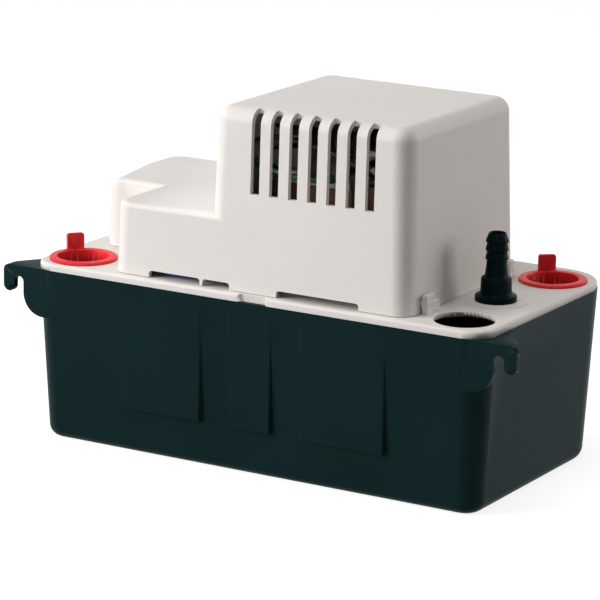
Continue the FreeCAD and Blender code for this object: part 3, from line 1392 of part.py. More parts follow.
def switch_hole_places():
    middle = switch_x0() + SWITCH_LENGTH / 2
    z = SWITCH_BOTTOM_Z + 10.3
    half = SWITCH_HOLE_SPACING / 2
    return [(middle - half, z - 7.0), (middle + half, z)]


def terminal_xs():
    return [switch_x0() + share * SWITCH_LENGTH for share in (0.2, 0.5, 0.8)]


def button_x():
    return LEVER_PIVOT_X - BUTTON_ARM


def switch_body(y):
    """Snap-action switch case, with two mounting holes, a button hole and three terminals."""
    x0 = switch_x0()
    half = SWITCH_THICKNESS / 2
    z0 = SWITCH_BOTTOM_Z
    z1 = z0 + SWITCH_HEIGHT
    case = block(x0, x0 + SWITCH_LENGTH, y - half, y + half, z0, z1)
    along = edges_where(case, lambda e: abs(e.Vertexes[0].Y - e.Vertexes[-1].Y) > 1)
    case = case.makeFillet(1.0, along)
    pivot_ear = block(LEVER_PIVOT_X - 1.5, LEVER_PIVOT_X + 1.5, y - 3.4, y + 3.4,
                      z0 - LEVER_PIVOT_DROP - 1, z0 + 1)
    slot = block(LEVER_PIVOT_X - 4, LEVER_PIVOT_X + 4, y - LEVER_WIDTH / 2 - 0.3, y + LEVER_WIDTH / 2 + 0.3,
                 z0 - 9, z0)
    case = joined([case, pivot_ear.cut(slot)])
    holes = [bar_y(x, y - 9, y + 9, z, SWITCH_HOLE) for x, z in switch_hole_places()]
    width = BUTTON_WIDTH + 0.3
    bx = button_x()
    holes.append(block(bx - width / 2, bx + width / 2, y - width / 2, y + width / 2,
                       z0 - 1, z0 + BUTTON_POCKET))
    holes.append(bar_y(LEVER_PIVOT_X, y - 9, y + 9, lever_pivot_z(), LEVER_PIN + 2 * RUNNING_CLEARANCE))
    case = case.cut(group(holes))
    terminals = []
    for x in terminal_xs():
        terminals.append(block(x - 0.4, x + 0.4, y - TERMINAL_WIDTH / 2, y + TERMINAL_WIDTH / 2,
                               z1 - 0.5, z1 + TERMINAL_HEIGHT))
    return joined([case] + terminals)


def switch_lever(y):
    """Hinged steel strip with a rolled eye at its pivot and a curled tip."""
    z = lever_pivot_z()
    half = LEVER_WIDTH / 2
    thick = LEVER_THICKNESS / 2
    strip = block(LEVER_PIVOT_X - LEVER_LENGTH, LEVER_PIVOT_X, y - half, y + half, z - thick, z + thick)
    eye = bar_y(LEVER_PIVOT_X, y - half, y + half, z, 1.8)
    pin = bar_y(LEVER_PIVOT_X, y - 3.4, y + 3.4, z, LEVER_PIN)
    body = joined([strip, eye, pin])
    body.rotate(vec(LEVER_PIVOT_X, y, z), vec(0, 1, 0), -lever_rest_deg())
    return body


def switch_button(y):
    """The small plunger between lever and case."""
    turn = math.radians(lever_rest_deg())
    bx = button_x()
    low = lever_pivot_z() - (BUTTON_ARM - BUTTON_WIDTH / 2) * math.tan(turn)
    low += LEVER_THICKNESS / 2 / math.cos(turn) + BUTTON_GAP
    half = BUTTON_WIDTH / 2
    return block(bx - half, bx + half, y - half, y + half, low, SWITCH_BOTTOM_Z + 2.2)


def switch_stand():
    """Moulded stand on the deck: a wall behind each switch pair and a foot flange."""
    y_wall = switch_places()[1] + SWITCH_THICKNESS / 2
    x0 = switch_x0() - 3
    x1 = switch_x0() + SWITCH_LENGTH + 3
    z_top = SWITCH_BOTTOM_Z + SWITCH_HEIGHT
    wall = block(x0, x1, y_wall, y_wall + STAND_WALL, DECK_Z, z_top)
    foot = block(x0, x1, y_wall, y_wall + 12, DECK_Z, DECK_Z + STAND_WALL)
    solids = [wall, foot]
    for x in (x0, x1 - STAND_WALL):
        steps = [(y_wall + 12, DECK_Z), (y_wall + 1, z_top - 2), (y_wall, z_top - 2)]
        side = Part.Face(outline((y_wall, DECK_Z), steps, lambda y, z: vec(x, y, z)))
        solids.append(side.extrude(vec(STAND_WALL, 0, 0)))
    body = joined(solids)
    holes = [bar_y(x, y_wall - 1, y_wall + STAND_WALL + 1, z, 2.6) for x, z in switch_hole_places()]
    return body.cut(group(holes))


def switch_screws():
    """Two long screws through both switches into the stand."""
    y_head = switch_places()[0] - SWITCH_THICKNESS / 2
    y_tip = switch_places()[1] + SWITCH_THICKNESS / 2 + STAND_WALL + 0.5
    solids = []
    for x, z in switch_hole_places():
        shank = bar_y(x, y_head, y_tip, z, 2.6)
        head = bar_y(x, y_head - HEAD_HEIGHT, y_head, z, 5.5)
        slot = block(x - 2, x + 2, y_head - HEAD_HEIGHT - 1, y_head - HEAD_HEIGHT + 0.8, z - 0.4, z + 0.4)
        solids.append(joined([shank, head]).cut(slot))
    return group(solids)


def cord_gland():
    """Ring on a foot that fills the arch in the hood's rear wall; its bore is the cord inlet."""
    z = gland_z()
    y0 = COVER_REAR_Y - COVER_WALL - 5
    y1 = COVER_REAR_Y + 2
    neck = GLAND_OUTSIDE - 3.8
    solids = [bar_y(GLAND_X, y0, y1, z, neck)]
    solids.append(block(GLAND_X - neck / 2, GLAND_X + neck / 2, y0, y1, DECK_Z, z))
    for start in (y0, y1 - 1.2):
        solids.append(bar_y(GLAND_X, start, start + 1.2, z, GLAND_OUTSIDE))
        solids.append(block(GLAND_X - GLAND_OUTSIDE / 2, GLAND_X + GLAND_OUTSIDE / 2, start, start + 1.2,
                            DECK_Z, z))
    return joined(solids).cut(bar_y(GLAND_X, y0 - 1, y1 + 1, z, GLAND_BORE))


def butt_splice():
    """Crimped sleeve that joins the blue lead to the motor lead; it lies on the deck."""
    reach = SPLICE_LENGTH / 2
    return bar_x(SPLICE_X - reach, SPLICE_X + reach, SPLICE_Y, splice_z(), SPLICE_DIAMETER)


def splice_z():
    return DECK_Z + COVER_SEAT_GAP + SPLICE_DIAMETER / 2


def gland_z():
    return DECK_Z + GLAND_OUTSIDE / 2 + 1


def terminal_z():
    return SWITCH_BOTTOM_Z + SWITCH_HEIGHT + TERMINAL_HEIGHT / 2


def coil_front_y():
    return MOTOR_Y - WINDOW_HALF + COIL_CLEARANCE


def coil_rear_y():
    return MOTOR_Y + WINDOW_HALF - COIL_CLEARANCE


def wire_routes():
    """Each lead's points, from one end to the other."""
    run_y, safety_y = switch_places()
    left, middle, right = terminal_xs()
    z_pin = terminal_z()
    half_pin = TERMINAL_WIDTH / 2
    cord_y = COVER_REAR_Y - COVER_WALL - 5.5
    z_cord = gland_z()
    coil_x = MOTOR_X + WINDOW_RIGHT - 4
    low_z = STACK_BOTTOM_Z - 6
    high_z = STACK_BOTTOM_Z + STACK_HEIGHT + 5
    lug_z = upper_bracket_z() + BRACKET_PLATE + WIRE_DIAMETER / 2 + 0.1
    lug_y = MOTOR_Y - MOTOR_SCREW_Y - MOTOR_SCREW
    splice_end = SPLICE_X + SPLICE_LENGTH / 2
    return {
        "line_wire": [
            (GLAND_X - 2.4, cord_y, z_cord),
            (GLAND_X - 2.4, cord_y - 8, z_cord),
            (GLAND_X - 16, cord_y - 18, z_cord + 5),
            (GLAND_X - 22, 6, z_cord + 14),
            (GLAND_X - 18, run_y, z_pin + 0.1),
            (left - 0.4, run_y, z_pin + 0.1),
        ],
        "link_wire": [
            (middle, run_y + half_pin, z_pin + 0.1),
            (middle, safety_y - half_pin, z_pin + 0.1),
        ],
        "neutral_wire": [
            (GLAND_X + 2.4, cord_y, z_cord),
            (GLAND_X + 2.4, cord_y - 8, z_cord),
            (GLAND_X + 24, cord_y - 6, z_cord - 1),
            (GLAND_X + 50, cord_y - 2, z_cord - 1),
            (GLAND_X + 80, cord_y - 2, z_cord),
            (coil_x - 8, cord_y - 5, z_cord + 3),
            (coil_x, coil_rear_y() + 16, low_z),
            (coil_x, coil_rear_y() + 0.2, low_z),
        ],
        "ground_wire": [
            (GLAND_X, cord_y, z_cord + 2.4),
            (GLAND_X, cord_y - 10, z_cord + 5),
            (GLAND_X + 24, cord_y - 10, z_cord + 12),
            (COVER_LEFT_X + 9, cord_y - 16, z_cord + 24),
            (COVER_LEFT_X + 9, MOTOR_Y + 2, z_cord + 39),
            (COVER_LEFT_X + 10, MOTOR_Y - 24, z_cord + 51),
            (-8, MOTOR_Y - 41, z_cord + 51.5),
            (11, MOTOR_Y - 42, z_cord + 48),
            (MOTOR_X + MOTOR_SCREW_X - 4, MOTOR_Y - 41, lug_z + 0.4),
            (MOTOR_X + MOTOR_SCREW_X, lug_y - 3, lug_z),
            (MOTOR_X + MOTOR_SCREW_X, lug_y - 0.1, lug_z),
        ],
        "switch_wire": [
            (right, safety_y - half_pin, z_pin + 0.3),
            (right, safety_y - half_pin - 2.6, z_pin + 0.3),
            (right + 3.6, run_y + 1, z_pin + 0.3),
            (right + 3.6, run_y - 14, z_pin + 0.1),
            (right, run_y - 28, z_pin - 10),
            (right - 12, COVER_FRONT_Y + 10, DECK_Z + 10),
            (right - 10, COVER_FRONT_Y + 5.2, DECK_Z + 2.6),
            (right, COVER_FRONT_Y + 5.6, DECK_Z + 2.2),
            (right + 8, COVER_FRONT_Y + 11, DECK_Z + 2.6),
            (SPLICE_X - SPLICE_LENGTH / 2 - 7, SPLICE_Y, splice_z()),
            (SPLICE_X - SPLICE_LENGTH / 2, SPLICE_Y, splice_z()),
        ],
        "motor_wire": [
            (splice_end, SPLICE_Y, splice_z()),
            (splice_end + 8, SPLICE_Y, splice_z()),
            (splice_end + 14, SPLICE_Y - 1, DECK_Z + 14),
            (splice_end + 4, SPLICE_Y - 2, DECK_Z + 33),
            (-14.5, SPLICE_Y - 2.5, DECK_Z + 57),
            (-10, SPLICE_Y + 4, DECK_Z + 70),
            (3, SPLICE_Y + 5, DECK_Z + 73),
            (MOTOR_X + 14, SPLICE_Y + 3, DECK_Z + 69),
            (coil_x, SPLICE_Y + 4, high_z + 7),
            (coil_x, coil_front_y() - 9, high_z),
            (coil_x, coil_front_y() - 0.2, high_z),
        ],
    }


def lead(points):
    """One insulated lead: a straight stub, or runs joined by the largest arcs that fit."""
    places = [vec(*point) for point in points]
    if len(places) == 2:
        span = places[1] - places[0]
        return Part.makeCylinder(WIRE_DIAMETER / 2, span.Length, places[0], span)
    return swept(places, WIRE_DIAMETER)


def write(name, shape):
    shape.exportStep("parts/" + name + ".step")


def main():
    os.makedirs("parts", exist_ok=True)
    upper, upper_bearing_z = bearing_bracket(upper_bracket_z(), 1)
    lower, lower_bearing_z = bearing_bracket(STACK_BOTTOM_Z, -1)
    run_y, safety_y = switch_places()
    pieces = {
        "tank": tank(),
        "lid": lid(),
        "motor_cover": motor_cover(),
        "inlet_plug_left": inlet_plug(INLET_LEFT_X, INLET_FRONT_Y, LEFT_TAB_DEG),
        "inlet_plug_right": inlet_plug(INLET_X, INLET_REAR_Y, RIGHT_TAB_DEG),
        "discharge_barb": discharge_barb(),
        "check_valve_body": check_valve_body(),
        "check_valve_ball": check_valve_ball(),
        "stator_laminations": stator_laminations(),
        "shading_rings": shading_rings(),
        "coil_bobbin": coil_bobbin(),
        "winding_coil": winding_coil(),
        "rotor_core": rotor_core(),
        "upper_bracket": upper,
        "lower_bracket": lower,
        "upper_bearing": bearing(upper_bearing_z),
        "lower_bearing": bearing(lower_bearing_z),
        "motor_screws": motor_screws(),
        "cooling_fan": cooling_fan(),
        "motor_shaft": motor_shaft(),
        "shaft_slinger": shaft_slinger(),
        "pump_column": pump_column(),
        "column_screws": column_screws(),
        "volute_housing": volute_housing(),
        "volute_screws": volute_screws(),
        "impeller": impeller(),
        "inlet_strainer": inlet_strainer(),
        "discharge_tube": discharge_tube(),
        "float_arm": float_arm(),
        "float": float_block(),
        "float_pin": float_pin(),
        "push_rod": push_rod(),
        "switch_stand": switch_stand(),
        "switch_screws": switch_screws(),
        "run_switch": switch_body(run_y),
        "run_switch_lever": switch_lever(run_y),
        "run_switch_button": switch_button(run_y),
        "safety_switch": switch_body(safety_y),
        "safety_switch_lever": switch_lever(safety_y),
        "safety_switch_button": switch_button(safety_y),
        "cord_gland": cord_gland(),
        "butt_splice": butt_splice(),
    }
    for name, points in wire_routes().items():
        pieces[name] = lead(points)
    for name, shape in pieces.items():
        solids = len(shape.Solids)
        print(name, "solids", solids, "valid", shape.isValid(), "volume", round(shape.Volume))
        write(name, shape)


main()
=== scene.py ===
import math

import bpy
from mathutils import Matrix, Vector


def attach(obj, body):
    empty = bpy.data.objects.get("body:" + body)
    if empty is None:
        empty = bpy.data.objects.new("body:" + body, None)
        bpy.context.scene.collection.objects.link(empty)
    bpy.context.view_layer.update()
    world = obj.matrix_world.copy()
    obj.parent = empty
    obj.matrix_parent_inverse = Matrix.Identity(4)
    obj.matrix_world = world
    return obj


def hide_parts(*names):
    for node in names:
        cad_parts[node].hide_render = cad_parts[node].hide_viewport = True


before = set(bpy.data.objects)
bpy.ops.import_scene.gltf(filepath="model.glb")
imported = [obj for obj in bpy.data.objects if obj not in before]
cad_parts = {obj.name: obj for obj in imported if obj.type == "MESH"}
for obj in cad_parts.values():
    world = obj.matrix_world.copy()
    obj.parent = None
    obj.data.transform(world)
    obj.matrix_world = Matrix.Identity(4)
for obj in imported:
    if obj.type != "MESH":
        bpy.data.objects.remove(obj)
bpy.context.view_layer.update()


# Tank. A deep open box, injection moulded in one shot from dark blue-green polypropylene,
# with drafted walls, three raised pads on its front and a hook for a wall screw at each
# front corner. The mould's fine grain shows as a soft orange peel.

def moulding_grain():
    """Shared surface of the moulded plastics: fine grain, slow waves, clouds, specks and rubs."""
    group = bpy.data.node_groups.new("moulding grain", "ShaderNodeTree")
    group.interface.new_socket("Grain scale", in_out="INPUT", socket_type="NodeSocketFloat")
    group.interface.new_socket("Height", in_out="OUTPUT", socket_type="NodeSocketFloat")
    group.interface.new_socket("Cloud", in_out="OUTPUT", socket_type="NodeSocketFloat")
    group.interface.new_socket("Speck", in_out="OUTPUT", socket_type="NodeSocketFloat")
    group.interface.new_socket("Rub", in_out="OUTPUT", socket_type="NodeSocketFloat")
    nodes = group.nodes
    links = group.links
    entry = nodes.new("NodeGroupInput")
    result = nodes.new("NodeGroupOutput")
    place = nodes.new("ShaderNodeTexCoord")
    grain = nodes.new("ShaderNodeTexNoise")
    grain.inputs["Detail"].default_value = 3.0
    wave = nodes.new("ShaderNodeTexNoise")
    wave.inputs["Scale"].default_value = 28.0
    wave.inputs["Detail"].default_value = 1.0
    cloud = nodes.new("ShaderNodeTexNoise")
    cloud.inputs["Scale"].default_value = 14.0
    cloud.inputs["Detail"].default_value = 4.0
    speck = nodes.new("ShaderNodeTexNoise")
    speck.inputs["Scale"].default_value = 420.0
    speck.inputs["Detail"].default_value = 2.0
    for texture in (grain, wave, cloud, speck):
        links.new(place.outputs["Object"], texture.inputs["Vector"])
    slant = nodes.new("ShaderNodeMapping")
    slant.inputs["Rotation"].default_value = (0.5, 0.3, 0.6)
    slant.inputs["Scale"].default_value = (14.0, 300.0, 300.0)
    links.new(place.outputs["Object"], slant.inputs["Vector"])
    rub = nodes.new("ShaderNodeTexNoise")
    rub.inputs["Scale"].default_value = 1.0
    rub.inputs["Detail"].default_value = 3.0
    links.new(slant.outputs["Vector"], rub.inputs["Vector"])
    thin = nodes.new("ShaderNodeMapRange")
    thin.inputs["From Min"].default_value = 0.66
    thin.inputs["From Max"].default_value = 0.78
    links.new(rub.outputs["Fac"], thin.inputs["Value"])
    links.new(thin.outputs["Result"], result.inputs["Rub"])
    links.new(entry.outputs["Grain scale"], grain.inputs["Scale"])
    grain_height = 0.35
    mix = nodes.new("ShaderNodeMath")
    mix.operation = "MULTIPLY_ADD"
    mix.inputs[1].default_value = grain_height
    links.new(grain.outputs["Fac"], mix.inputs[0])
    links.new(wave.outputs["Fac"], mix.inputs[2])
    links.new(mix.outputs[0], result.inputs["Height"])
    links.new(cloud.outputs["Fac"], result.inputs["Cloud"])
    links.new(speck.outputs["Fac"], result.inputs["Speck"])
    return group


grain_group = moulding_grain()


def moulded_plastic(name, colour, tint, roughness,
                    grain_scale=900.0, relief=0.12, shine=0.5, rubbed=0.08):
    """Moulded plastic: its colour drifts slightly towards tint, and its gloss is uneven."""
    material = bpy.data.materials.new(name)
    material.use_nodes = True
    nodes = material.node_tree.nodes
    links = material.node_tree.links
    shader = nodes["Principled BSDF"]
    shader.inputs["Specular IOR Level"].default_value = shine
    surface = nodes.new("ShaderNodeGroup")
    surface.node_tree = grain_group
    surface.inputs["Grain scale"].default_value = grain_scale
    ramp = nodes.new("ShaderNodeMapRange")
    ramp.inputs["From Min"].default_value = 0.35
    ramp.inputs["From Max"].default_value = 0.7
    links.new(surface.outputs["Cloud"], ramp.inputs["Value"])
    paint = nodes.new("ShaderNodeMix")
    paint.data_type = "RGBA"
    paint.inputs["A"].default_value = (*colour, 1.0)
    paint.inputs["B"].default_value = (*tint, 1.0)
    links.new(ramp.outputs["Result"], paint.inputs["Factor"])
    links.new(paint.outputs["Result"], shader.inputs["Base Color"])
    uneven = 0.06
    gloss = nodes.new("ShaderNodeMapRange")
    gloss.inputs["To Min"].default_value = roughness - uneven
    gloss.inputs["To Max"].default_value = roughness + uneven
    links.new(surface.outputs["Speck"], gloss.inputs["Value"])
    worn = nodes.new("ShaderNodeMath")
    worn.operation = "MULTIPLY_ADD"
    worn.inputs[1].default_value = rubbed
    links.new(surface.outputs["Rub"], worn.inputs[0])
    links.new(gloss.outputs["Result"], worn.inputs[2])
    links.new(worn.outputs[0], shader.inputs["Roughness"])
    bump = nodes.new("ShaderNodeBump")
    bump.inputs["Strength"].default_value = relief
    bump.inputs["Distance"].default_value = 0.0006
    links.new(surface.outputs["Height"], bump.inputs["Height"])
    links.new(bump.outputs["Normal"], shader.inputs["Normal"])
    return material


def finished(node_name, body, material):
    """A CAD node's own form, merged into one skin with smooth rounds and crisp edges."""
    same_point = 0.000004
    crisp_edge = math.radians(32.0)
    bpy.ops.object.select_all(action="DESELECT")
    piece = bpy.data.objects.new(node_name + "_finished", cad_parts[node_name].data.copy())
    bpy.context.scene.collection.objects.link(piece)
    piece.select_set(True)
    bpy.context.view_layer.objects.active = piece
    bpy.ops.object.mode_set(mode="EDIT")
    bpy.ops.mesh.select_all(action="SELECT")
    bpy.ops.mesh.remove_doubles(threshold=same_point)
    bpy.ops.object.mode_set(mode="OBJECT")
    bpy.ops.object.shade_smooth_by_angle(angle=crisp_edge)
    even = piece.modifiers.new("even shading", "WEIGHTED_NORMAL")
    even.mode = "FACE_AREA_WITH_ANGLE"
    even.keep_sharp = True
    bpy.ops.object.modifier_apply(modifier=even.name)
    piece.data.materials.clear()
    piece.data.materials.append(material)
    piece.cycles.shadow_terminator_geometry_offset = 0.5
    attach(piece, body)
    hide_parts(node_name)


tank_plastic = moulded_plastic("tank plastic",
                               (0.0022, 0.0138, 0.0150), (0.0034, 0.0170, 0.0184), 0.42,
                               grain_scale=700.0, relief=0.16, shine=0.045)
finished("tank", "tank", tank_plastic)


# Inlet strainer, spiral housing, impeller and column. Dark glass-filled plastic screwed up
# under the lid; the impeller is moulded in natural white and pressed on the motor's shaft.

pump_plastic = moulded_plastic("pump plastic", (0.012, 0.012, 0.013), (0.018, 0.018, 0.019), 0.5)
impeller_plastic = moulded_plastic("impeller plastic", (0.62, 0.61, 0.57), (0.55, 0.54, 0.5), 0.45)
finished("inlet_strainer", "head", pump_plastic)
finished("volute_housing", "head", pump_plastic)
finished("pump_column", "head", pump_plastic)
finished("impeller", "rotor", impeller_plastic)


# Screws. Zinc-plated steel with a pan head and a cross recess, driven into moulded posts.

def turned_metal(name, colour, dark, roughness, grain_axis=(1.0, 1.0, 12.0), relief=0.05):
    """Bare or plated metal with fine drawn lines along one axis and a little dulling."""
    material = bpy.data.materials.new(name)
    material.use_nodes = True
    nodes = material.node_tree.nodes
    links = material.node_tree.links
    shader = nodes["Principled BSDF"]
    shader.inputs["Metallic"].default_value = 1.0
    place = nodes.new("ShaderNodeTexCoord")
    stretch = nodes.new("ShaderNodeMapping")
    stretch.inputs["Scale"].default_value = grain_axis
    links.new(place.outputs["Object"], stretch.inputs["Vector"])
    lines = nodes.new("ShaderNodeTexNoise")
    lines.inputs["Scale"].default_value = 160.0
    lines.inputs["Detail"].default_value = 3.0
    links.new(stretch.outputs["Vector"], lines.inputs["Vector"])
    blotch = nodes.new("ShaderNodeTexNoise")
    blotch.inputs["Scale"].default_value = 90.0
    links.new(place.outputs["Object"], blotch.inputs["Vector"])
    paint = nodes.new("ShaderNodeMix")
    paint.data_type = "RGBA"
    paint.inputs["A"].default_value = (*colour, 1.0)
    paint.inputs["B"].default_value = (*dark, 1.0)
    links.new(blotch.outputs["Fac"], paint.inputs["Factor"])
    links.new(paint.outputs["Result"], shader.inputs["Base Color"])
    uneven = 0.1
    gloss = nodes.new("ShaderNodeMapRange")
    gloss.inputs["To Min"].default_value = roughness - uneven
    gloss.inputs["To Max"].default_value = roughness + uneven
    links.new(lines.outputs["Fac"], gloss.inputs["Value"])
    links.new(gloss.outputs["Result"], shader.inputs["Roughness"])
    bump = nodes.new("ShaderNodeBump")
    bump.inputs["Strength"].default_value = relief
    bump.inputs["Distance"].default_value = 0.0002
    links.new(lines.outputs["Fac"], bump.inputs["Height"])
    links.new(bump.outputs["Normal"], shader.inputs["Normal"])
    return material


screw_steel = turned_metal("zinc plated steel", (0.62, 0.62, 0.58), (0.45, 0.45, 0.42), 0.36)
for name in ("volute_screws", "column_screws", "motor_screws", "switch_screws"):
    finished(name, "head", screw_steel)


# Float gear. A foam float on a bent arm swings on a steel pin under the lid and lifts a
# plastic rod that passes up through a bored boss to the switches.

float_foam = moulded_plastic("float foam", (0.60, 0.57, 0.48), (0.50, 0.47, 0.39), 0.75,
                             grain_scale=1500.0, relief=0.35)
arm_plastic = moulded_plastic("arm plastic", (0.012, 0.012, 0.013), (0.018, 0.018, 0.019), 0.45)
rod_plastic = moulded_plastic("rod plastic", (0.66, 0.65, 0.60), (0.60, 0.58, 0.54), 0.4)
pin_steel = turned_metal("pin steel", (0.64, 0.64, 0.65), (0.50, 0.50, 0.51), 0.28)
finished("float", "float", float_foam)
finished("float_arm", "float", arm_plastic)
finished("float_pin", "head", pin_steel)
finished("push_rod", "rod", rod_plastic)


# Discharge tube, check valve and hose barb. A soft milky tube leads from the pump to a
# valve with a steel ball; the black barb screws down through the lid into the valve.

tube_vinyl = moulded_plastic("tube vinyl", (0.50, 0.54, 0.52), (0.44, 0.48, 0.46), 0.3, relief=0.05)
valve_plastic = moulded_plastic("valve plastic", (0.016, 0.016, 0.017), (0.022, 0.022, 0.023), 0.42)
barb_plastic = moulded_plastic("barb plastic",
                               (0.0005, 0.0075, 0.0085), (0.0009, 0.0095, 0.0105), 0.34,
                               grain_scale=1200.0, relief=0.08, shine=0.035)
ball_steel = turned_metal("ball steel", (0.66, 0.66, 0.67), (0.58, 0.58, 0.59), 0.18)
finished("discharge_tube", "head", tube_vinyl)
finished("check_valve_body", "head", valve_plastic)
finished("check_valve_ball", "ball", ball_steel)
finished("discharge_barb", "head", barb_plastic)


# Lid. The off-white deck that closes the tank: a rim that drops inside the tank's mouth,
# three round inlets, posts for the motor, two snap hooks and low ribs for the hood.

cover_plastic = moulded_plastic("cover plastic", (0.755, 0.718, 0.686), (0.720, 0.683, 0.651), 0.50,
                                grain_scale=1100.0, relief=0.08, shine=0.28)
cover_shader = cover_plastic.node_tree.nodes["Principled BSDF"]
cover_shader.inputs["Subsurface Weight"].default_value = 0.25
cover_shader.inputs["Subsurface Radius"].default_value = (0.005, 0.0042, 0.0036)
finished("lid", "head", cover_plastic)


# Inlet plugs. Soft red cups pushed into the inlets that are not used, each with an upright
# tab to pull it out by. The red is darkened down the cup as painted shade, since less light reaches
# the closed end.

PLUG_CUP_RIM = 0.0885
PLUG_CUP_FLOOR = 0.0805


def red_plastic_with_painted_shade():
    """Soft red plastic, with painted shade that darkens it towards the closed end of the cup."""
    material = moulded_plastic("plug plastic", (0.80, 0.022, 0.028), (0.72, 0.017, 0.022), 0.42,
                               grain_scale=1000.0, relief=0.06, shine=0.25)
    nodes = material.node_tree.nodes
    links = material.node_tree.links
    shader = nodes["Principled BSDF"]
    paint = shader.inputs["Base Color"].links[0].from_socket
    where = nodes.new("ShaderNodeTexCoord")
    split = nodes.new("ShaderNodeSeparateXYZ")
    links.new(where.outputs["Object"], split.inputs["Vector"])
    depth = nodes.new("ShaderNodeMapRange")
    depth.inputs["From Min"].default_value = PLUG_CUP_FLOOR
    depth.inputs["From Max"].default_value = PLUG_CUP_RIM
    depth.inputs["To Min"].default_value = 1.0
    depth.inputs["To Max"].default_value = 0.0
    links.new(split.outputs["Z"], depth.inputs["Value"])
    # Painted shade: the red is multiplied darker from the cup's rim down to its floor.
    painted_cup_shade = nodes.new("ShaderNodeMix")
    painted_cup_shade.data_type = "RGBA"
    painted_cup_shade.blend_type = "MULTIPLY"
    painted_cup_shade.inputs["B"].default_value = (0.30, 0.30, 0.28, 1.0)
    links.new(depth.outputs["Result"], painted_cup_shade.inputs["Factor"])
    links.new(paint, painted_cup_shade.inputs["A"])
    links.new(painted_cup_shade.outputs["Result"], shader.inputs["Base Color"])
    return material


plug_plastic = red_plastic_with_painted_shade()
finished("inlet_plug_left", "plug_left", plug_plastic)
finished("inlet_plug_right", "plug_right", plug_plastic)


# Motor. A stack of brown varnished sheets with copper shading rings, a varnished coil on a
# nylon bobbin, and a cast rotor between two die-cast brackets with bronze bearings.

def stacked_sheets():
    """Edges of thin steel sheets under brown varnish: fine level lines across the stack."""
    material = bpy.data.materials.new("stacked sheets")
    material.use_nodes = True
    nodes = material.node_tree.nodes
    links = material.node_tree.links
    shader = nodes["Principled BSDF"]
    shader.inputs["Metallic"].default_value = 0.25
    shader.inputs["Roughness"].default_value = 0.42
    place = nodes.new("ShaderNodeTexCoord")
    sheets = nodes.new("ShaderNodeTexWave")
    sheets.bands_direction = "Z"
    sheets.inputs["Scale"].default_value = 480.0
    sheets.inputs["Distortion"].default_value = 0.4
    sheets.inputs["Detail"].default_value = 1.0
    links.new(place.outputs["Object"], sheets.inputs["Vector"])
    blotch = nodes.new("ShaderNodeTexNoise")
    blotch.inputs["Scale"].default_value = 120.0
    blotch.inputs["Detail"].default_value = 5.0
    links.new(place.outputs["Object"], blotch.inputs["Vector"])
    shade = nodes.new("ShaderNodeMath")
    shade.operation = "MULTIPLY"
    links.new(sheets.outputs["Fac"], shade.inputs[0])
    links.new(blotch.outputs["Fac"], shade.inputs[1])
    paint = nodes.new("ShaderNodeMix")
    paint.data_type = "RGBA"
    paint.inputs["A"].default_value = (0.070, 0.030, 0.012, 1.0)
    paint.inputs["B"].default_value = (0.300, 0.165, 0.075, 1.0)
    links.new(shade.outputs[0], paint.inputs["Factor"])
    links.new(paint.outputs["Result"], shader.inputs["Base Color"])
    bump = nodes.new("ShaderNodeBump")
    bump.inputs["Strength"].default_value = 0.4
    bump.inputs["Distance"].default_value = 0.0003
    links.new(sheets.outputs["Fac"], bump.inputs["Height"])
    links.new(bump.outputs["Normal"], shader.inputs["Normal"])
    return material


def varnished_windings():
    """Turns of enamelled wire under brown varnish: ridges round the coil, darker in the gaps."""
    material = bpy.data.materials.new("varnished windings")
    material.use_nodes = True
    nodes = material.node_tree.nodes
    links = material.node_tree.links
    shader = nodes["Principled BSDF"]
    shader.inputs["Roughness"].default_value = 0.38
    place = nodes.new("ShaderNodeTexCoord")
    turns = nodes.new("ShaderNodeTexWave")
    turns.bands_direction = "Y"
    turns.inputs["Scale"].default_value = 420.0
    turns.inputs["Distortion"].default_value = 0.8
    turns.inputs["Detail"].default_value = 1.0
    links.new(place.outputs["Object"], turns.inputs["Vector"])
    varnish = nodes.new("ShaderNodeTexNoise")
    varnish.inputs["Scale"].default_value = 150.0
    varnish.inputs["Detail"].default_value = 4.0
    links.new(place.outputs["Object"], varnish.inputs["Vector"])
    depth = nodes.new("ShaderNodeMath")
    depth.operation = "MULTIPLY"
    links.new(turns.outputs["Fac"], depth.inputs[0])
    links.new(varnish.outputs["Fac"], depth.inputs[1])
    paint = nodes.new("ShaderNodeMix")
    paint.data_type = "RGBA"
    paint.inputs["A"].default_value = (0.050, 0.022, 0.008, 1.0)
    paint.inputs["B"].default_value = (0.420, 0.190, 0.060, 1.0)
    links.new(depth.outputs[0], paint.inputs["Factor"])
    links.new(paint.outputs["Result"], shader.inputs["Base Color"])
    bump = nodes.new("ShaderNodeBump")
    bump.inputs["Strength"].default_value = 0.5
    bump.inputs["Distance"].default_value = 0.0003
    links.new(turns.outputs["Fac"], bump.inputs["Height"])
    links.new(bump.outputs["Normal"], shader.inputs["Normal"])
    return material


bracket_metal = turned_metal("die cast metal", (0.48, 0.48, 0.48), (0.36, 0.36, 0.36), 0.5,
                             relief=0.15)
bearing_bronze = turned_metal("bearing bronze", (0.45, 0.27, 0.10), (0.33, 0.19, 0.07), 0.4)
ring_copper = turned_metal("ring copper", (0.62, 0.27, 0.13), (0.45, 0.18, 0.08), 0.34)
rotor_metal = turned_metal("rotor metal", (0.45, 0.45, 0.44), (0.33, 0.33, 0.32), 0.4)
shaft_steel = turned_metal("shaft steel", (0.60, 0.60, 0.61), (0.50, 0.50, 0.51), 0.24)
bobbin_nylon = moulded_plastic("bobbin nylon", (0.56, 0.42, 0.17), (0.48, 0.35, 0.13), 0.4)
coil_windings = varnished_windings()
fan_plastic = moulded_plastic("fan plastic", (0.014, 0.014, 0.015), (0.02, 0.02, 0.021), 0.42)
seal_rubber = moulded_plastic("seal rubber", (0.010, 0.010, 0.010), (0.016, 0.016, 0.016), 0.68)
finished("stator_laminations", "head", stacked_sheets())
finished("shading_rings", "head", ring_copper)
finished("coil_bobbin", "head", bobbin_nylon)
finished("winding_coil", "head", coil_windings)
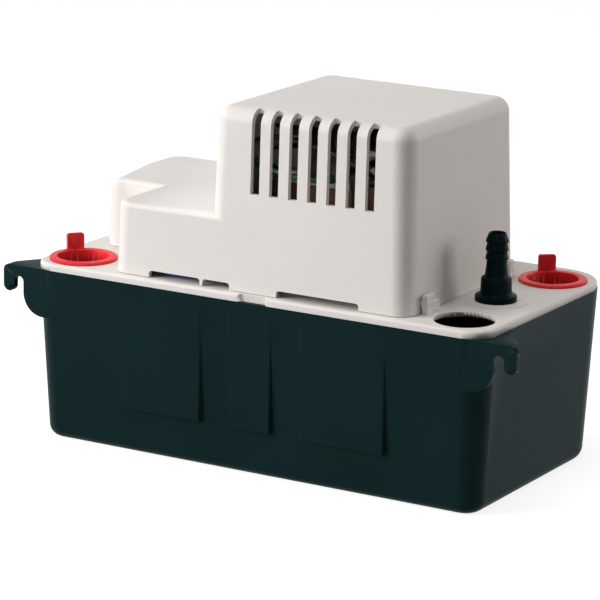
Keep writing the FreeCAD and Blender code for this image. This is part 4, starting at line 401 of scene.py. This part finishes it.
finished("upper_bracket", "head", bracket_metal)
finished("lower_bracket", "head", bracket_metal)
finished("upper_bearing", "head", bearing_bronze)
finished("lower_bearing", "head", bearing_bronze)
finished("rotor_core", "rotor", rotor_metal)
finished("motor_shaft", "rotor", shaft_steel)
finished("cooling_fan", "rotor", fan_plastic)
finished("shaft_slinger", "rotor", seal_rubber)


# Switches. Two snap-action switches side by side on a moulded stand, each with a steel
# lever over a red button; the float's rod lifts both levers.

switch_plastic = moulded_plastic("switch plastic",
                                 (0.012, 0.012, 0.012), (0.018, 0.018, 0.018), 0.4)
lever_steel = turned_metal("lever steel", (0.66, 0.66, 0.66), (0.54, 0.54, 0.54), 0.3)
button_plastic = moulded_plastic("button plastic", (0.40, 0.014, 0.010), (0.34, 0.011, 0.008), 0.35)
finished("switch_stand", "head", cover_plastic)
finished("run_switch", "head", switch_plastic)
finished("safety_switch", "head", switch_plastic)
finished("run_switch_lever", "run_lever", lever_steel)
finished("safety_switch_lever", "safety_lever", lever_steel)
finished("run_switch_button", "run_button", button_plastic)
finished("safety_switch_button", "safety_button", button_plastic)


# Leads. Stranded wire in coloured insulation, from the cord's gland to the switches, the
# motor's coil and the earth screw, with a crimped splice on the blue one.

def insulation(name, colour, tint):
    """Smooth, fairly shiny vinyl drawn over a lead."""
    return moulded_plastic(name, colour, tint, 0.32, grain_scale=1500.0, relief=0.05)


black_insulation = insulation("black insulation", (0.008, 0.008, 0.008), (0.012, 0.012, 0.012))
white_insulation = insulation("white insulation", (0.66, 0.65, 0.62), (0.60, 0.59, 0.56))
green_insulation = insulation("green insulation", (0.012, 0.150, 0.045), (0.010, 0.120, 0.036))
blue_insulation = insulation("blue insulation", (0.012, 0.060, 0.380), (0.010, 0.050, 0.320))
splice_sleeve = insulation("splice sleeve", (0.020, 0.090, 0.420), (0.016, 0.075, 0.360))
finished("line_wire", "head", black_insulation)
finished("link_wire", "head", black_insulation)
finished("motor_wire", "head", black_insulation)
finished("neutral_wire", "head", white_insulation)
finished("ground_wire", "head", green_insulation)
finished("switch_wire", "head", blue_insulation)
finished("butt_splice", "head", splice_sleeve)
finished("cord_gland", "head", seal_rubber)


# Hood. One off-white moulding over the motor: a tall part whose vent slots climb the front
# and bend over the crest, and a low part that wraps round it over the switches.

finished("motor_cover", "hood", cover_plastic)


# Floor, light and camera. A pale floor under soft studio light, and a long lens that looks
# down on the pump from its front right, as in the photograph.

FLOOR_SIZE = 14.0
FLOOR_GLOW = 0.82
SKY_LIGHT = 0.12
SKY_SEEN = 1.0


def rays_that_see(tree):
    """Above zero for rays that come from the camera, from a reflection or through a part."""
    path = tree.nodes.new("ShaderNodeLightPath")
    seen = tree.nodes.new("ShaderNodeMath")
    seen.operation = "ADD"
    tree.links.new(path.outputs["Is Camera Ray"], seen.inputs[0])
    tree.links.new(path.outputs["Is Glossy Ray"], seen.inputs[1])
    through = tree.nodes.new("ShaderNodeMath")
    through.operation = "ADD"
    tree.links.new(seen.outputs[0], through.inputs[0])
    tree.links.new(path.outputs["Is Transmission Ray"], through.inputs[1])
    return through.outputs[0]


bpy.ops.object.select_all(action="DESELECT")
bpy.ops.mesh.primitive_plane_add(size=FLOOR_SIZE, location=(0.0, 0.0, 0.0))
floor = bpy.context.active_object
floor.name = "floor"
floor_paint = bpy.data.materials.new("pale floor")
floor_paint.use_nodes = True
nodes = floor_paint.node_tree.nodes
links = floor_paint.node_tree.links
matt = nodes["Principled BSDF"]
matt.inputs["Base Color"].default_value = (0.45, 0.45, 0.45, 1.0)
matt.inputs["Roughness"].default_value = 0.9
matt.inputs["Specular IOR Level"].default_value = 0.0
matt.inputs["Emission Color"].default_value = (1.0, 1.0, 1.0, 1.0)
glow = nodes.new("ShaderNodeMath")
glow.operation = "MULTIPLY"
glow.use_clamp = True
glow.inputs[1].default_value = FLOOR_GLOW
links.new(rays_that_see(floor_paint.node_tree), glow.inputs[0])
links.new(glow.outputs[0], matt.inputs["Emission Strength"])
floor.data.materials.append(floor_paint)

world = bpy.data.worlds.new("studio")
bpy.context.scene.world = world
world.use_nodes = True
nodes = world.node_tree.nodes
links = world.node_tree.links
soft = nodes["Background"]
soft.inputs["Color"].default_value = (0.95, 0.97, 1.0, 1.0)
soft.inputs["Strength"].default_value = SKY_LIGHT
bright = nodes.new("ShaderNodeBackground")
bright.inputs["Color"].default_value = (1.0, 1.0, 1.0, 1.0)
bright.inputs["Strength"].default_value = SKY_SEEN
choice = nodes.new("ShaderNodeMixShader")
links.new(rays_that_see(world.node_tree), choice.inputs["Fac"])
links.new(soft.outputs["Background"], choice.inputs[1])
links.new(bright.outputs["Background"], choice.inputs[2])
links.new(choice.outputs["Shader"], nodes["World Output"].inputs["Surface"])


LIT_POINT = Vector((0.0, 0.0, 0.08))


def soft_lamp(name, place, size, power, colour):
    """A square soft box in the studio, turned towards the middle of the pump."""
    bpy.ops.object.light_add(type="AREA", location=place)
    lamp = bpy.context.active_object
    lamp.name = name
    lamp.data.shape = "SQUARE"
    lamp.data.size = size
    lamp.data.energy = power
    lamp.data.color = colour
    aim = LIT_POINT - Vector(place)
    lamp.rotation_euler = aim.to_track_quat("-Z", "Y").to_euler()


soft_lamp("key lamp", (-1.15, -1.05, 0.60), size=0.8, power=26.5, colour=(1.0, 0.998, 0.992))
soft_lamp("side lamp", (1.20, 1.05, 0.50), size=0.7, power=8.4, colour=(1.0, 0.985, 0.955))
soft_lamp("top lamp", (-0.1, -0.3, 1.6), size=1.0, power=9.8, colour=(1.0, 0.995, 0.99))

azimuth = math.radians(30.2237)
elevation = math.radians(13.7529)
roll = math.radians(0.9911)
distance = 1.6417997
aim_point = Vector((0.0, 0.0, 0.090))
back = Vector((math.sin(azimuth) * math.cos(elevation),
               -math.cos(azimuth) * math.cos(elevation),
               math.sin(elevation)))
level = Vector((math.cos(azimuth), math.sin(azimuth), 0.0))
upright = back.cross(level)
right = level * math.cos(roll) + upright * math.sin(roll)
up = upright * math.cos(roll) - level * math.sin(roll)
eye = aim_point + back * distance
turn = Matrix((right, up, back)).transposed().to_4x4()
lens = bpy.data.cameras.new("camera")
camera = bpy.data.objects.new("camera", lens)
bpy.context.scene.collection.objects.link(camera)
camera.matrix_world = Matrix.Translation(eye) @ turn
lens.sensor_width = 36.0
lens.lens = 205.198
lens.shift_x = -0.03647
lens.shift_y = -0.06050
lens.clip_end = 50.0
bpy.context.scene.camera = camera
bpy.context.scene.view_settings.view_transform = "Standard"
